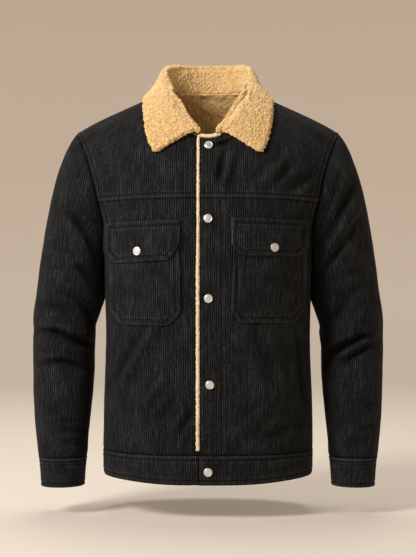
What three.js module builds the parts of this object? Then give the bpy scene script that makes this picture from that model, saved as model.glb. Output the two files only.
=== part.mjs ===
import * as THREE from "three";
import { mergeVertices } from "three/addons/utils/BufferGeometryUtils.js";

// A sherpa lined trucker jacket of wide wale corduroy, filled out as if worn, with nobody in it.
// Millimetres. +Z is up, -Y is the front, +X is the wearer's left.
// The origin is midway between the two points where the shoulders meet the neck.

// The two faces, by the sign of their Y
const FRONT = -1;
const BACK = 1;

// Driving sizes
const NECK_HALF = 75;
const SHOULDER_HALF = 236;
const FRONT_NECK_Z = -96;
const BACK_NECK_Y = 63;
const YOKE_SEAM_Z = -198;
const YOKE_SEAM_DIP = 4.5;
const SHOULDER_TIP_Z = -77;
const UNDERARM_Z = -308;
const WAIST_SEAM_Z = -640;
const HEM_SIDE_Z = -684;
const HEM_FRONT_Z = -690;
const SHELL = 2;
const LINING = 3.2;
const SLEEVE_WALL = 3;
const BAND_WALL = 3;
const SEAM_GAP = 0.3;
const FRONT_EDGE = 13;
const UNDER_EDGE = 22;
const SNAP_RADIUS = 7.5;

// Rows and columns of the panels
const BODY_ROWS = 10;
const ARMHOLE_ROWS = 6;
const SHOULDER_ROWS = [0.76, 0.52, 0.32, 0.17, 0.075, 0.022, 0];
const BACK_COLUMNS = [0, 24, 48, 66, NECK_HALF];
const NECK_COLUMNS = [56, 64, 70, NECK_HALF];
const FRONT_SPANS = 11;
const SHOULDER_SPANS = 6;

// The right front passes under the left one
const UNDERLAP_DIP = 3.9;
const DIP_START = 46;
const DIP_END = 24;
const UNDER_COLUMNS = [-UNDER_EDGE, 0, DIP_END, 34, DIP_START];

// Armhole loop and sleeves
const ARMHOLE_TURN_Z = -235;
const ARMHOLE_POWER = 2.2;
const SLEEVE_POWER = 2.15;
const SEAT = 0.32;
const EVEN_BY = 6;
const LOOP_BY = 4;
const BACK_FOLD_RISE = 16;
const CUFF_SPANS = 9;

// Waistband
const BAND_END = 16;
const BAND_BACK_SPANS = 12;
const BAND_FRONT_SPANS = 7;

// The lining lies inside the shell and follows it without its folds
const LINING_DEPTH = 6.4;
const LINING_TOP_GAP = 1.5;

// Pockets and flaps
const PATCH_LIFT = 1.9;
const POCKET_WALL = 1.3;
const FLAP_WALL = 1.8;
const FLAP_LIFT = 4.8;
const PATCH_SPANS = 10;

// Edging on the left front
const EDGING_HALF = 3.85;
const EDGING_TURN = EDGING_HALF + 1.4;
const EDGING_FOOT = -630;
const EDGING_ROWS = 14;
const EDGING_OUT = 1.6;
const EDGING_UNDER = -2.7;
const EDGING_CROWN = [0, 1, 1, 0];

// Collar
const COLLAR_WALL = 5;
const COLLAR_STEPS = 2;
const STAND_SPANS = 3;
const LEAF_SPANS = 5;
const COLLAR_SEAT = 1.2;
const COLLAR_FRONT_RISE = 8;
const COLLAR_INSET = 1.8;
const COLLAR_CLEAR = 1.3;
const STAND_CLEAR = 0.8;
const STAND_BOW = 0.22;
const ROLL_REACH = 22;
const SHOULDER_STATION = 4;

// Snaps: a low cap on the cloth
const SNAP_GAP = 0.35;
const SNAP_SIDES = 12;

// How the section of the torso is rounded, and how far below the shoulder line it reaches its full depth
const TORSO_POWER = 2.4;
const SHOULDER_POWER = 2.2;
const SHOULDER_ROUND = 115;

// The torso by height: half width and depth of the front, half width and depth of the back
const TORSO = [
  { z: 60, frontHalf: 320, front: 50, backHalf: 320, back: 92 },
  { z: 0, frontHalf: 310, front: 62, backHalf: 310, back: 106 },
  { z: -50, frontHalf: 290, front: 72, backHalf: 290, back: 113 },
  { z: -77, frontHalf: 264, front: 79, backHalf: 272, back: 116 },
  { z: -100, frontHalf: 248, front: 87, backHalf: 260, back: 119 },
  { z: -125, frontHalf: 238, front: 100, backHalf: 250, back: 122 },
  { z: -160, frontHalf: 228, front: 114, backHalf: 239, back: 126 },
  { z: -200, frontHalf: 214, front: 127, backHalf: 228, back: 129 },
  { z: -235, frontHalf: 198, front: 135, backHalf: 212, back: 130 },
  { z: -270, frontHalf: 190, front: 140, backHalf: 197, back: 130 },
  { z: -308, frontHalf: 187, front: 143, backHalf: 187, back: 129 },
  { z: -375, frontHalf: 184.5, front: 143, backHalf: 184.5, back: 125 },
  { z: -430, frontHalf: 183, front: 141, backHalf: 183, back: 122 },
  { z: -500, frontHalf: 184.5, front: 138, backHalf: 184.5, back: 121 },
  { z: -570, frontHalf: 187, front: 136, backHalf: 187, back: 124 },
  { z: -640, frontHalf: 188, front: 135, backHalf: 188, back: 127 },
  { z: -700, frontHalf: 187, front: 134, backHalf: 187, back: 127 },
];

// The shoulder line from the neck out
const SHOULDER_LINE = [
  { x: -50, z: 10.5 },
  { x: 0, z: 20 },
  { x: 50, z: 10.5 },
  { x: NECK_HALF, z: 0 },
  { x: 110, z: -15.4 },
  { x: 150, z: -33 },
  { x: 190, z: -51.5 },
  { x: 215, z: -64 },
  { x: SHOULDER_HALF, z: SHOULDER_TIP_Z },
  { x: 262, z: -96 },
];

// Where the armhole seam lies across the chest and the shoulder blade, down to where it turns under
const ARMHOLE = [
  { z: SHOULDER_TIP_Z, front: SHOULDER_HALF, back: SHOULDER_HALF },
  { z: -84, front: 232, back: 234 },
  { z: -100, front: 224, back: 229 },
  { z: -125, front: 213.5, back: 221.5 },
  { z: -160, front: 203, back: 213 },
  { z: -200, front: 193, back: 205 },
  { z: -235, front: 184, back: 196 },
];

// The sleeve by station: its outer and inner line seen from the front, half its depth, and its middle's Y
const SLEEVE = [
  { outX: SHOULDER_HALF, outZ: SHOULDER_TIP_Z, inX: 187, inZ: UNDERARM_Z, deep: 70, midY: 1 },
  { outX: 246, outZ: -91, inX: 188.6, inZ: -318, deep: 74, midY: 1 },
  { outX: 257, outZ: -113, inX: 188.6, inZ: -328, deep: 76, midY: 2 },
  { outX: 268.5, outZ: -143, inX: 188.4, inZ: -340, deep: 76, midY: 3 },
  { outX: 279, outZ: -180, inX: 188.2, inZ: -353, deep: 74, midY: 4 },
  { outX: 288, outZ: -224, inX: 188.2, inZ: -366, deep: 72, midY: 5 },
  { outX: 296, outZ: -266, inX: 189, inZ: -380, deep: 70, midY: 6 },
  { outX: 303, outZ: -312, inX: 192, inZ: -395, deep: 67, midY: 7 },
  { outX: 308, outZ: -358, inX: 197, inZ: -410, deep: 65, midY: 7 },
  { outX: 315, outZ: -402, inX: 201, inZ: -426, deep: 63, midY: 6 },
  { outX: 315, outZ: -436, inX: 200.5, inZ: -444, deep: 62, midY: 4 },
  { outX: 315, outZ: -466, inX: 203, inZ: -466, deep: 60, midY: 0 },
  { outX: 313.5, outZ: -500, inX: 203, inZ: -498, deep: 58, midY: -5 },
  { outX: 312, outZ: -540, inX: 205, inZ: -538, deep: 56, midY: -12 },
  { outX: 309, outZ: -582, inX: 209, inZ: -580, deep: 53, midY: -20 },
  { outX: 305, outZ: -618, inX: 212.5, inZ: -616, deep: 49.5, midY: -27 },
  { outX: 300.5, outZ: -652, inX: 214, inZ: -650, deep: 45.5, midY: -32 },
];

const CUFF = [
  { outX: 300, outZ: -652.5, inX: 214.5, inZ: -650.5, deep: 45, midY: -32 },
  { outX: 299.5, outZ: -657, inX: 215, inZ: -655, deep: 45, midY: -33 },
  { outX: 297.5, outZ: -679, inX: 216.5, inZ: -678, deep: 43.5, midY: -36 },
  { outX: 295.5, outZ: -702, inX: 218, inZ: -701, deep: 42, midY: -39 },
];

// Folds that change the outline or catch the light from a step away, seen from the front:
// the middle of each, its lean, half length, half width, and its depth, which is a ridge above zero.
const SLEEVE_FOLDS_RIGHT = [
  { x: 250, z: -443, lean: 12, long: 62, wide: 11, deep: -8 },
  { x: 252, z: -459, lean: 14, long: 45, wide: 9, deep: 3 },
  { x: 257, z: -476, lean: 3, long: 34, wide: 9, deep: -5 },
  { x: 228, z: -410, lean: 30, long: 34, wide: 12, deep: -5 },
  { x: 216, z: -248, lean: 44, long: 46, wide: 17, deep: -4 },
  { x: 238, z: -290, lean: 36, long: 44, wide: 17, deep: -4 },
];
const SLEEVE_FOLDS_LEFT = [
  { x: 246, z: -453, lean: 31, long: 44, wide: 11, deep: -9 },
  { x: 278, z: -462, lean: 24, long: 30, wide: 9, deep: -5 },
  { x: 262, z: -420, lean: 10, long: 34, wide: 12, deep: 4 },
  { x: 240, z: -398, lean: 28, long: 40, wide: 12, deep: -5 },
  { x: 226, z: -222, lean: 62, long: 56, wide: 16, deep: -4 },
  { x: 234, z: -300, lean: 42, long: 46, wide: 17, deep: -4 },
];
const FRONT_FOLDS_RIGHT = [
  { x: 125, z: -480, lean: -60, long: 56, wide: 14, deep: 3.5 },
  { x: 88, z: -528, lean: -51, long: 36, wide: 13, deep: 3 },
  { x: 62, z: -590, lean: -58, long: 40, wide: 14, deep: -3 },
  { x: 150, z: -560, lean: -66, long: 50, wide: 14, deep: -3 },
];
const FRONT_FOLDS_LEFT = [
  { x: 158, z: -500, lean: -84, long: 70, wide: 12, deep: -3.5 },
  { x: 104, z: -565, lean: 40, long: 60, wide: 15, deep: 3 },
  { x: 70, z: -600, lean: 30, long: 50, wide: 14, deep: -2.5 },
];
const BACK_FOLDS = [
  { x: -120, z: -540, lean: 55, long: 70, wide: 16, deep: 4 },
  { x: 118, z: -520, lean: -60, long: 75, wide: 16, deep: 4 },
  { x: 0, z: -585, lean: 4, long: 110, wide: 16, deep: -3 },
  { x: -150, z: -300, lean: -38, long: 60, wide: 15, deep: -3 },
  { x: 150, z: -300, lean: 38, long: 60, wide: 15, deep: -3 },
];

// One half of the collar by station, from the middle of the back to its front end: where along the neck seam,
// the line where it rolls over, and where its free edge lies over the shoulder.
const COLLAR = [
  { face: BACK, neckX: 0, rollX: 0, rollY: 71, rollZ: 55, edgeX: 0, edgeZ: -24 },
  { face: BACK, neckX: 28, rollX: 30, rollY: 67, rollZ: 55, edgeX: 46, edgeZ: -25 },
  { face: BACK, neckX: 52, rollX: 56, rollY: 53, rollZ: 52, edgeX: 84, edgeZ: -28 },
  { face: BACK, neckX: 69, rollX: 71, rollY: 31, rollZ: 42, edgeX: 107, edgeZ: -28 },
  { face: FRONT, neckX: 75, rollX: 70, rollY: 4, rollZ: 19, edgeX: 113, edgeZ: -18 },
  { face: FRONT, neckX: 69, rollX: 57, rollY: -27, rollZ: -12, edgeX: 112, edgeZ: -48 },
  { face: FRONT, neckX: 53, rollX: 42, rollY: -50, rollZ: -40, edgeX: 108, edgeZ: -76 },
  { face: FRONT, neckX: 34, rollX: 28, rollY: -70, rollZ: -60, edgeX: 102, edgeZ: -100 },
  { face: FRONT, neckX: 15, rollX: 15, rollY: -84, rollZ: -76, edgeX: 92, edgeZ: -120 },
];

const MATERIALS = {
  corduroy: { color: 0x1d1d1c, roughness: 0.92, metalness: 0 },
  sherpa: { color: 0xd9b271, roughness: 1, metalness: 0 },
  metal: { color: 0xd6d6d4, roughness: 0.35, metalness: 0.6 },
};

const jacket = new THREE.Group();
jacket.name = "sherpa_lined_jacket";

const clamp = (value, low, high) => Math.min(high, Math.max(low, value));
const mix = (a, b, share) => a + (b - a) * share;
const radians = (degrees) => (degrees * Math.PI) / 180;

// 0 before the start, 1 after the end, and smooth between
function ease(start, end, value) {
  const share = clamp((value - start) / (end - start), 0, 1);
  return share * share * (3 - 2 * share);
}

// A smooth curve through a table's rows, read by one column and giving another
function smoothTable(rows, key, column) {
  const sorted = [...rows].sort((a, b) => a[key] - b[key]);
  const xs = sorted.map((row) => row[key]);
  const ys = sorted.map((row) => row[column]);
  const last = xs.length - 1;
  const rise = (i) => (ys[i + 1] - ys[i]) / (xs[i + 1] - xs[i]);
  const slopes = xs.map((x, i) => {
    if (i === 0) return rise(0);
    if (i === last) return rise(last - 1);
    const before = x - xs[i - 1];
    const after = xs[i + 1] - x;
    return (rise(i - 1) * after + rise(i) * before) / (before + after);
  });
  return (x) => {
    const at = clamp(x, xs[0], xs[last]);
    let i = 0;
    while (i < last - 1 && at > xs[i + 1]) i += 1;
    const span = xs[i + 1] - xs[i];
    const t = (at - xs[i]) / span;
    const t2 = t * t;
    const t3 = t2 * t;
    return (
      (2 * t3 - 3 * t2 + 1) * ys[i] +
      (t3 - 2 * t2 + t) * span * slopes[i] +
      (3 * t2 - 2 * t3) * ys[i + 1] +
      (t3 - t2) * span * slopes[i + 1]
    );
  };
}

const columnOf = (table, key) => (name) => smoothTable(table, key, name);
const torso = columnOf(TORSO, "z");
const FACE = {
  [FRONT]: { half: torso("frontHalf"), deep: torso("front"), seam: smoothTable(ARMHOLE, "z", "front") },
  [BACK]: { half: torso("backHalf"), deep: torso("back"), seam: smoothTable(ARMHOLE, "z", "back") },
};
const shoulderTable = smoothTable(SHOULDER_LINE, "x", "z");
const shoulderZ = (x) => shoulderTable(Math.abs(x));
const ARMHOLE_MID_Z = (UNDERARM_Z + SHOULDER_TIP_Z) / 2;
const ARMHOLE_HALF_Z = (SHOULDER_TIP_Z - UNDERARM_Z) / 2;

// Share of the full depth at a point below the shoulder line
function shoulderShare(x, z) {
  const below = clamp((shoulderZ(x) - z) / SHOULDER_ROUND, 0, 1);
  return Math.pow(1 - Math.pow(1 - below, SHOULDER_POWER), 1 / SHOULDER_POWER);
}

// The point of the torso at a turn from the centre line, on a row whose height depends on x
function torsoPoint(face, turn, heightAt) {
  const wide = Math.pow(Math.abs(Math.sin(turn)), 2 / TORSO_POWER) * Math.sign(turn);
  const deep = Math.pow(Math.max(0, Math.cos(turn)), 2 / TORSO_POWER);
  let x = 0;
  let z = heightAt(0);
  for (let pass = 0; pass < 12; pass += 1) {
    x = mix(x, FACE[face].half(z) * wide, 0.8);
    z = heightAt(x);
  }
  return new THREE.Vector3(x, face * FACE[face].deep(z) * deep * shoulderShare(x, z), z);
}

// The turn at which a row reaches a given distance from the centre line
function turnAtX(face, x, heightAt) {
  const share = clamp(Math.abs(x) / FACE[face].half(heightAt(x)), 0, 1);
  return Math.asin(Math.pow(share, TORSO_POWER / 2)) * Math.sign(x);
}

// The turn at which a row meets the armhole seam, or the side seam below the underarm
function turnAtEnd(face, z) {
  if (z <= UNDERARM_Z) return Math.PI / 2;
  if (z > ARMHOLE_TURN_Z) return turnAtX(face, FACE[face].seam(z), () => z);
  const top = turnAtX(face, FACE[face].seam(ARMHOLE_TURN_Z), () => ARMHOLE_TURN_Z);
  const loop = (height) => {
    const rise = Math.abs(height - ARMHOLE_MID_Z) / ARMHOLE_HALF_Z;
    return Math.pow(Math.max(0, 1 - Math.pow(rise, ARMHOLE_POWER)), 1 / ARMHOLE_POWER);
  };
  const deepest = Math.pow(Math.cos(top), 2 / TORSO_POWER) * FACE[face].deep(ARMHOLE_TURN_Z);
  const deep = (deepest * loop(z)) / loop(ARMHOLE_TURN_Z);
  return Math.acos(Math.pow(clamp(deep / FACE[face].deep(z), 0, 1), TORSO_POWER / 2));
}

// Points of the torso along a row, at shares of its real length
function torsoRow(face, from, to, heightAt, shares) {
  const steps = 120;
  const turns = Array.from({ length: steps + 1 }, (_, i) => mix(from, to, i / steps));
  const points = turns.map((turn) => torsoPoint(face, turn, heightAt));
  const lengths = lengthsAlong(points);
  return shares.map((share) => {
    const at = share * lengths[steps];
    let i = 0;
    while (i < steps - 1 && lengths[i + 1] < at) i += 1;
    const part = clamp((at - lengths[i]) / Math.max(1e-9, lengths[i + 1] - lengths[i]), 0, 1);
    return torsoPoint(face, mix(turns[i], turns[i + 1], part), heightAt);
  });
}

const frontNeckZ = (x) => {
  const share = clamp(Math.abs(x) / NECK_HALF, 0, 1);
  return FRONT_NECK_Z * Math.pow(1 - share * share, 0.9);
};

const backNeckY = (x) => BACK_NECK_Y * Math.sqrt(1 - Math.pow(clamp(Math.abs(x) / NECK_HALF, 0, 1), 2));

const backNeckZ = (x) => {
  const part = clamp(backNeckY(x) / FACE[BACK].deep(0), 0, 1);
  const below = 1 - Math.pow(1 - Math.pow(part, SHOULDER_POWER), 1 / SHOULDER_POWER);
  return shoulderZ(x) - SHOULDER_ROUND * below;
};

const topZ = (face) => (x) => {
  if (Math.abs(x) >= NECK_HALF) return shoulderZ(x);
  return face === FRONT ? frontNeckZ(x) : backNeckZ(x);
};

const yokeSeamZ = (x) => YOKE_SEAM_Z - YOKE_SEAM_DIP * Math.pow(Math.abs(x) / 190, 2);

// A fold's push along the surface's normal, at a point seen from the front
function foldAt(folds, x, z) {
  return folds.reduce((sum, fold) => {
    const lean = radians(fold.lean);
    const dx = x - fold.x;
    const dz = z - fold.z;
    const along = dx * Math.cos(lean) + dz * Math.sin(lean);
    const across = dz * Math.cos(lean) - dx * Math.sin(lean);
    const fade = Math.exp(-Math.pow(along / fold.long, 4));
    return sum + fold.deep * fade * Math.exp(-Math.pow(across / fold.wide, 2));
  }, 0);
}

// Normals of a grid's points. A closed grid joins its last column to its first.
function gridNormals(grid, closed) {
  const rows = grid.length;
  const cols = grid[0].length;
  const at = (r, c) => {
    const row = grid[clamp(r, 0, rows - 1)];
    return closed ? row[(c + cols) % cols] : row[clamp(c, 0, cols - 1)];
  };
  return grid.map((row, r) =>
    row.map((_, c) => {
      const across = at(r, c + 1).clone().sub(at(r, c - 1));
      const up = at(r + 1, c).clone().sub(at(r - 1, c));
      return across.cross(up).normalize();
    }),
  );
}

const moved = (point, direction, distance) => point.clone().addScaledVector(direction, distance);

// A closed wall between an outer grid of points and an inner one
function wallBetween(outer, inner, closed) {
  const rows = outer.length;
  const cols = outer[0].length;
  const positions = [];
  [outer, inner].forEach((grid) => grid.forEach((row) => row.forEach((p) => positions.push(p.x, p.y, p.z))));
  const index = (side, r, c) => side * rows * cols + r * cols + (c % cols);
  const faces = [];
  const quad = (a, b, c, d) => faces.push(a, b, c, a, c, d);
  const spans = closed ? cols : cols - 1;
  for (let r = 0; r < rows - 1; r += 1) {
    for (let c = 0; c < spans; c += 1) {
      quad(index(0, r, c), index(0, r, c + 1), index(0, r + 1, c + 1), index(0, r + 1, c));
      quad(index(1, r, c), index(1, r + 1, c), index(1, r + 1, c + 1), index(1, r, c + 1));
    }
  }
  for (let c = 0; c < spans; c += 1) {
    quad(index(0, 0, c), index(1, 0, c), index(1, 0, c + 1), index(0, 0, c + 1));
    const top = rows - 1;
    quad(index(0, top, c), index(0, top, c + 1), index(1, top, c + 1), index(1, top, c));
  }
  if (!closed) {
    for (let r = 0; r < rows - 1; r += 1) {
      quad(index(0, r, 0), index(0, r + 1, 0), index(1, r + 1, 0), index(1, r, 0));
      const side = cols - 1;
      quad(index(0, r, side), index(1, r, side), index(1, r + 1, side), index(0, r + 1, side));
    }
  }
  const geometry = new THREE.BufferGeometry();
  geometry.setAttribute("position", new THREE.Float32BufferAttribute(positions, 3));
  geometry.setIndex(volumeOf(positions, faces) < 0 ? turnedOver(faces) : faces);
  return geometry;
}

function volumeOf(positions, faces) {
  const point = (i) => new THREE.Vector3(positions[3 * i], positions[3 * i + 1], positions[3 * i + 2]);
  let sum = 0;
  for (let i = 0; i < faces.length; i += 3) {
    sum += point(faces[i]).dot(point(faces[i + 1]).cross(point(faces[i + 2])));
  }
  return sum / 6;
}

function turnedOver(faces) {
  const turned = [...faces];
  for (let i = 0; i < faces.length; i += 3) [turned[i + 1], turned[i + 2]] = [faces[i + 2], faces[i + 1]];
  return turned;
}

function addPiece(name, geometry, material) {
  const mesh = new THREE.Mesh(geometry, new THREE.MeshStandardMaterial(MATERIALS[material]));
  mesh.name = name;
  jacket.add(mesh);
}

const onSide = (p, side) => new THREE.Vector3(p.x * side, p.y, p.z);
const mirrored = (grid, side) => grid.map((row) => row.map((p) => onSide(p, side)));

const evenShares = (steps) => Array.from({ length: steps + 1 }, (_, i) => i / steps);

const torsoAt = (face, x, z) => torsoPoint(face, turnAtX(face, x, () => z), () => z);

// The turn at which a row meets the armhole or the side seam, where the row's height depends on x
function rowEndTurn(face, heightAt) {
  let z = heightAt(SHOULDER_HALF);
  for (let pass = 0; pass < 24; pass += 1) {
    const x = torsoPoint(face, turnAtEnd(face, z), () => z).x;
    z = mix(z, heightAt(x), 0.7);
  }
  return turnAtEnd(face, z);
}

// A panel's row: named columns near the front edge or the neck, then even ones out to the armhole
function panelRow(face, columns, spans, heightAt) {
  const near = columns.map((x) => torsoAt(face, x, heightAt(x)));
  const from = turnAtX(face, columns[columns.length - 1], heightAt);
  const far = torsoRow(face, from, rowEndTurn(face, heightAt), heightAt, evenShares(spans));
  return [...near, ...far.slice(1)];
}

// Heights of a panel's rows: from the waistband to the underarm, up the armhole, and over the shoulder
const seamLevel = () => YOKE_SEAM_Z - YOKE_SEAM_DIP;
const bodyRows = evenShares(BODY_ROWS)
  .slice(0, -1)
  .map((share) => () => mix(WAIST_SEAM_Z + SEAM_GAP / 2, UNDERARM_Z, share));
const armholeRows = evenShares(ARMHOLE_ROWS)
  .slice(0, -1)
  .map((share) => {
    const stop = Math.acos((ARMHOLE_MID_Z - seamLevel()) / ARMHOLE_HALF_Z);
    return () => ARMHOLE_MID_Z - ARMHOLE_HALF_Z * Math.cos(share * stop);
  });
const shoulderRows = (face, seamAt) =>
  SHOULDER_ROWS.map((share) => (x) => mix(topZ(face)(x), seamAt(x), share));

const flattened = (normal, axis) => {
  const flat = normal.clone();
  flat[axis] = 0;
  return flat.normalize();
};

// The outer points of a panel with the directions out of the cloth. Folds fade out at the seams.
// A seam keeps the wall's edge square to it, so that two panels stay apart by the same gap all through.
function panelOf(rows, face, { push = () => 0, dip = () => 0, level = [], shoulder = false }) {
  const last = rows.length - 1;
  const outward = (grid) =>
    gridNormals(grid, false).map((row) => row.map((normal) => normal.multiplyScalar(-face)));
  const flat = outward(rows);
  const points = rows.map((row, r) =>
    row.map((point, c) => {
      const edge = r === 0 || r === last || c === 0 || c === row.length - 1;
      return moved(point, flat[r][c], (edge ? 0 : push(point.x, point.z)) - dip(point.x));
    }),
  );
  const normals = outward(points).map((row, r) =>
    row.map((normal, c) => {
      const point = points[r][c];
      const side = point.z < UNDERARM_Z + 0.5 && Math.abs(point.y) < 1;
      const ridge = shoulder && r === last && Math.abs(point.x) > NECK_HALF - 0.5;
      const levelled = (r === last && level.includes("top")) || (r === 0 && level.includes("bottom"));
      const out = levelled ? flattened(normal, "z") : normal;
      return side || ridge ? flattened(out, "y") : out;
    }),
  );
  if (shoulder) {
    points[last].forEach((point) => {
      if (Math.abs(point.x) > NECK_HALF - 0.5) point.y += (face * SEAM_GAP) / 2;
    });
  }
  return { points, normals };
}

const shifted = (panel, distance) =>
  panel.points.map((row, r) => row.map((point, c) => moved(point, panel.normals[r][c], distance)));

function addPanel(name, panel, side, material, wall) {
  const inner = mirrored(shifted(panel, -wall), side);
  addPiece(name, wallBetween(mirrored(panel.points, side), inner, false), material);
}

// The right front passes under the left one
const underlapDip = (x) => UNDERLAP_DIP * (1 - ease(DIP_END, DIP_START, x));
const noDip = () => 0;

// The two fronts, in one half: the right one is turned over to -X when it is built
const FRONTS = {
  right: { side: -1, columns: UNDER_COLUMNS, folds: FRONT_FOLDS_RIGHT, dip: underlapDip },
  left: { side: 1, columns: [-FRONT_EDGE, 5, 23], folds: FRONT_FOLDS_LEFT, dip: noDip },
};

function frontPanel({ columns, folds, dip }) {
  const heights = [...bodyRows, ...armholeRows, (x) => yokeSeamZ(x) - SEAM_GAP / 2];
  const rows = heights.map((heightAt) => panelRow(FRONT, columns, FRONT_SPANS, heightAt));
  return panelOf(rows, FRONT, { push: (x, z) => foldAt(folds, x, z), dip, level: ["top", "bottom"] });
}

function yokePanel({ columns, dip }) {
  const seamAt = (x) => yokeSeamZ(x) + SEAM_GAP / 2;
  const heights = [seamAt, ...shoulderRows(FRONT, seamAt)];
  const reach = columns[columns.length - 1] < 40 ? [...columns, 40] : columns;
  const all = [...reach, ...NECK_COLUMNS];
  const rows = heights.map((heightAt) => panelRow(FRONT, all, SHOULDER_SPANS, heightAt));
  return panelOf(rows, FRONT, { dip, level: ["bottom"], shoulder: true });
}

const panels = {};
Object.entries(FRONTS).forEach(([hand, front]) => {
  panels[`front_${hand}`] = frontPanel(front);
  panels[`yoke_${hand}`] = yokePanel(front);
  addPanel(`front_${hand}`, panels[`front_${hand}`], front.side, "corduroy", SHELL);
  addPanel(`yoke_${hand}`, panels[`yoke_${hand}`], front.side, "corduroy", SHELL);
});

// The back, both halves in one panel
const backHeights = [...bodyRows, ...armholeRows, seamLevel, ...shoulderRows(BACK, seamLevel)];
const bothHalves = (half) => {
  const other = half.slice(1).reverse();
  return [...other.map((p) => onSide(p, -1)), ...half];
};
const backRow = (heightAt) => bothHalves(panelRow(BACK, BACK_COLUMNS, SHOULDER_SPANS, heightAt));
const backRows = backHeights.map(backRow);
panels.back = panelOf(backRows, BACK, {
  push: (x, z) => foldAt(BACK_FOLDS, x, z),
  level: ["bottom"],
  shoulder: true,
});
addPanel("back", panels.back, 1, "corduroy", SHELL);

// Tables of the sleeve and the cuff, read along their stations
const sleeveTable = SLEEVE.map((row, at) => ({ ...row, at }));
const cuffTable = CUFF.map((row, at) => ({ ...row, at }));
const tubeAt = (table) => {
  const columns = ["outX", "outZ", "inX", "inZ", "deep", "midY"];
  const curves = Object.fromEntries(columns.map((name) => [name, smoothTable(table, "at", name)]));
  return (at) => Object.fromEntries(columns.map((name) => [name, curves[name](at)]));
};

// Points of one half of a tube's ring, from its outer line to its inner one, at shares of its length
function halfRing(station, face, shares) {
  const outer = new THREE.Vector3(station.outX, station.midY, station.outZ);
  const inner = new THREE.Vector3(station.inX, station.midY, station.inZ);
  const middle = outer.clone().add(inner).multiplyScalar(0.5);
  const arm = outer.clone().sub(middle);
  const steps = 90;
  const points = Array.from({ length: steps + 1 }, (_, i) => {
    const angle = (Math.PI * i) / steps;
    const along = Math.sign(Math.cos(angle)) * Math.pow(Math.abs(Math.cos(angle)), 2 / SLEEVE_POWER);
    const deep = Math.pow(Math.sin(angle), 2 / SLEEVE_POWER) * station.deep * face;
    return moved(middle, arm, along).add(new THREE.Vector3(0, deep, 0));
  });
  return atShares(points, shares);
}

// Points at shares of a line's length
function atShares(points, shares) {
  const lengths = lengthsAlong(points);
  const whole = lengths[lengths.length - 1];
  return shares.map((share) => {
    let i = 0;
    while (i < points.length - 2 && lengths[i + 1] < share * whole) i += 1;
    const part = (share * whole - lengths[i]) / Math.max(1e-9, lengths[i + 1] - lengths[i]);
    return points[i].clone().lerp(points[i + 1], clamp(part, 0, 1));
  });
}

function lengthsAlong(points) {
  const lengths = [0];
  points.slice(1).forEach((point, i) => lengths.push(lengths[i] + point.distanceTo(points[i])));
  return lengths;
}

// A ring runs down the front from the outer line to the inner one, and up the back
const wholeRing = (front, back) => [...front, ...[...back].reverse().slice(1, -1)];
const ringAt = (station, shares) =>
  wholeRing(halfRing(station, FRONT, shares[FRONT]), halfRing(station, BACK, shares[BACK]));

// The armhole's points with the directions out of the cloth, from the panels' own edges
function armholeHalf(pieces) {
  const found = [];
  pieces.forEach((panel, index) => {
    for (let r = panel.points.length - 1; r >= 0; r -= 1) {
      const c = panel.points[r].length - 1;
      const point = panel.points[r][c];
      const shared = index > 0 && r === panel.points.length - 1;
      if (point.z > UNDERARM_Z - 0.5 && !shared) {
        found.push({ point: point.clone(), normal: panel.normals[r][c].clone() });
      }
    }
  });
  [found[0], found[found.length - 1]].forEach((end) => {
    end.point.y = 0;
  });
  return found;
}

// The armhole's points moved just inside it, with the direction in which the sleeve's wall lies there
function armholeSeat(front, back) {
  const ring = wholeRing(front, back);
  const middle = middleOf(ring.map(({ point }) => point));
  return ring.map(({ point, normal }, i) => {
    const next = ring[(i + 1) % ring.length].point;
    const before = ring[(i + ring.length - 1) % ring.length].point;
    const into = next.clone().sub(before).cross(normal).normalize();
    if (into.dot(middle.clone().sub(point)) < 0) into.negate();
    return { point: moved(moved(point, into, SEAT), normal, 0.1), normal, into };
  });
}

const sharesOf = (half) => {
  const lengths = lengthsAlong(half.map(({ point }) => point));
  return lengths.map((length) => length / lengths[lengths.length - 1]);
};

// Stations of a sleeve's rings, close together round the elbow
function sleeveStops() {
  const stops = [];
  for (let at = 0; at <= SLEEVE.length - 1; at += 1) {
    stops.push(at);
    if (at >= 8 && at < 11) stops.push(at + 1 / 3, at + 2 / 3);
  }
  return stops;
}

function sleeveWall(side, folds) {
  const hand = side > 0 ? "left" : "right";
  const front = armholeHalf([panels[`yoke_${hand}`], panels[`front_${hand}`]]);
  const back = armholeHalf([panels.back]);
  const seat = armholeSeat(front, back);
  const loop = { [FRONT]: sharesOf(front), [BACK]: sharesOf(back) };
  const station = tubeAt(sleeveTable);
  const start = ringAt(station(0), loop);
  const stops = sleeveStops();
  const rings = stops.map((at) => {
    if (at === 0) return seat.map(({ point }) => point);
    const even = ease(0, EVEN_BY, at);
    const shares = {};
    [FRONT, BACK].forEach((face) => {
      shares[face] = loop[face].map((share, i) => mix(share, i / (loop[face].length - 1), even));
    });
    const fade = Math.pow(1 - clamp(at / LOOP_BY, 0, 1), 2);
    return ringAt(station(at), shares).map((point, i) =>
      point.addScaledVector(seat[i].point.clone().sub(start[i]), fade),
    );
  });
  const last = rings.length - 1;
  const folded = pushedByFolds(rings, folds);
  const normals = ringNormals(folded);
  const inner = folded.map((ring, r) =>
    ring.map((point, i) => {
      if (r === 0) return moved(point, seatWallDirection(seat[i], normals[0][i]), SLEEVE_WALL);
      const normal = r === last ? inPlaneOf(ring, normals[r][i]) : normals[r][i];
      return moved(point, normal, -SLEEVE_WALL);
    }),
  );
  return wallBetween(mirrored(folded, side), mirrored(inner, side), true);
}

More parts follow.
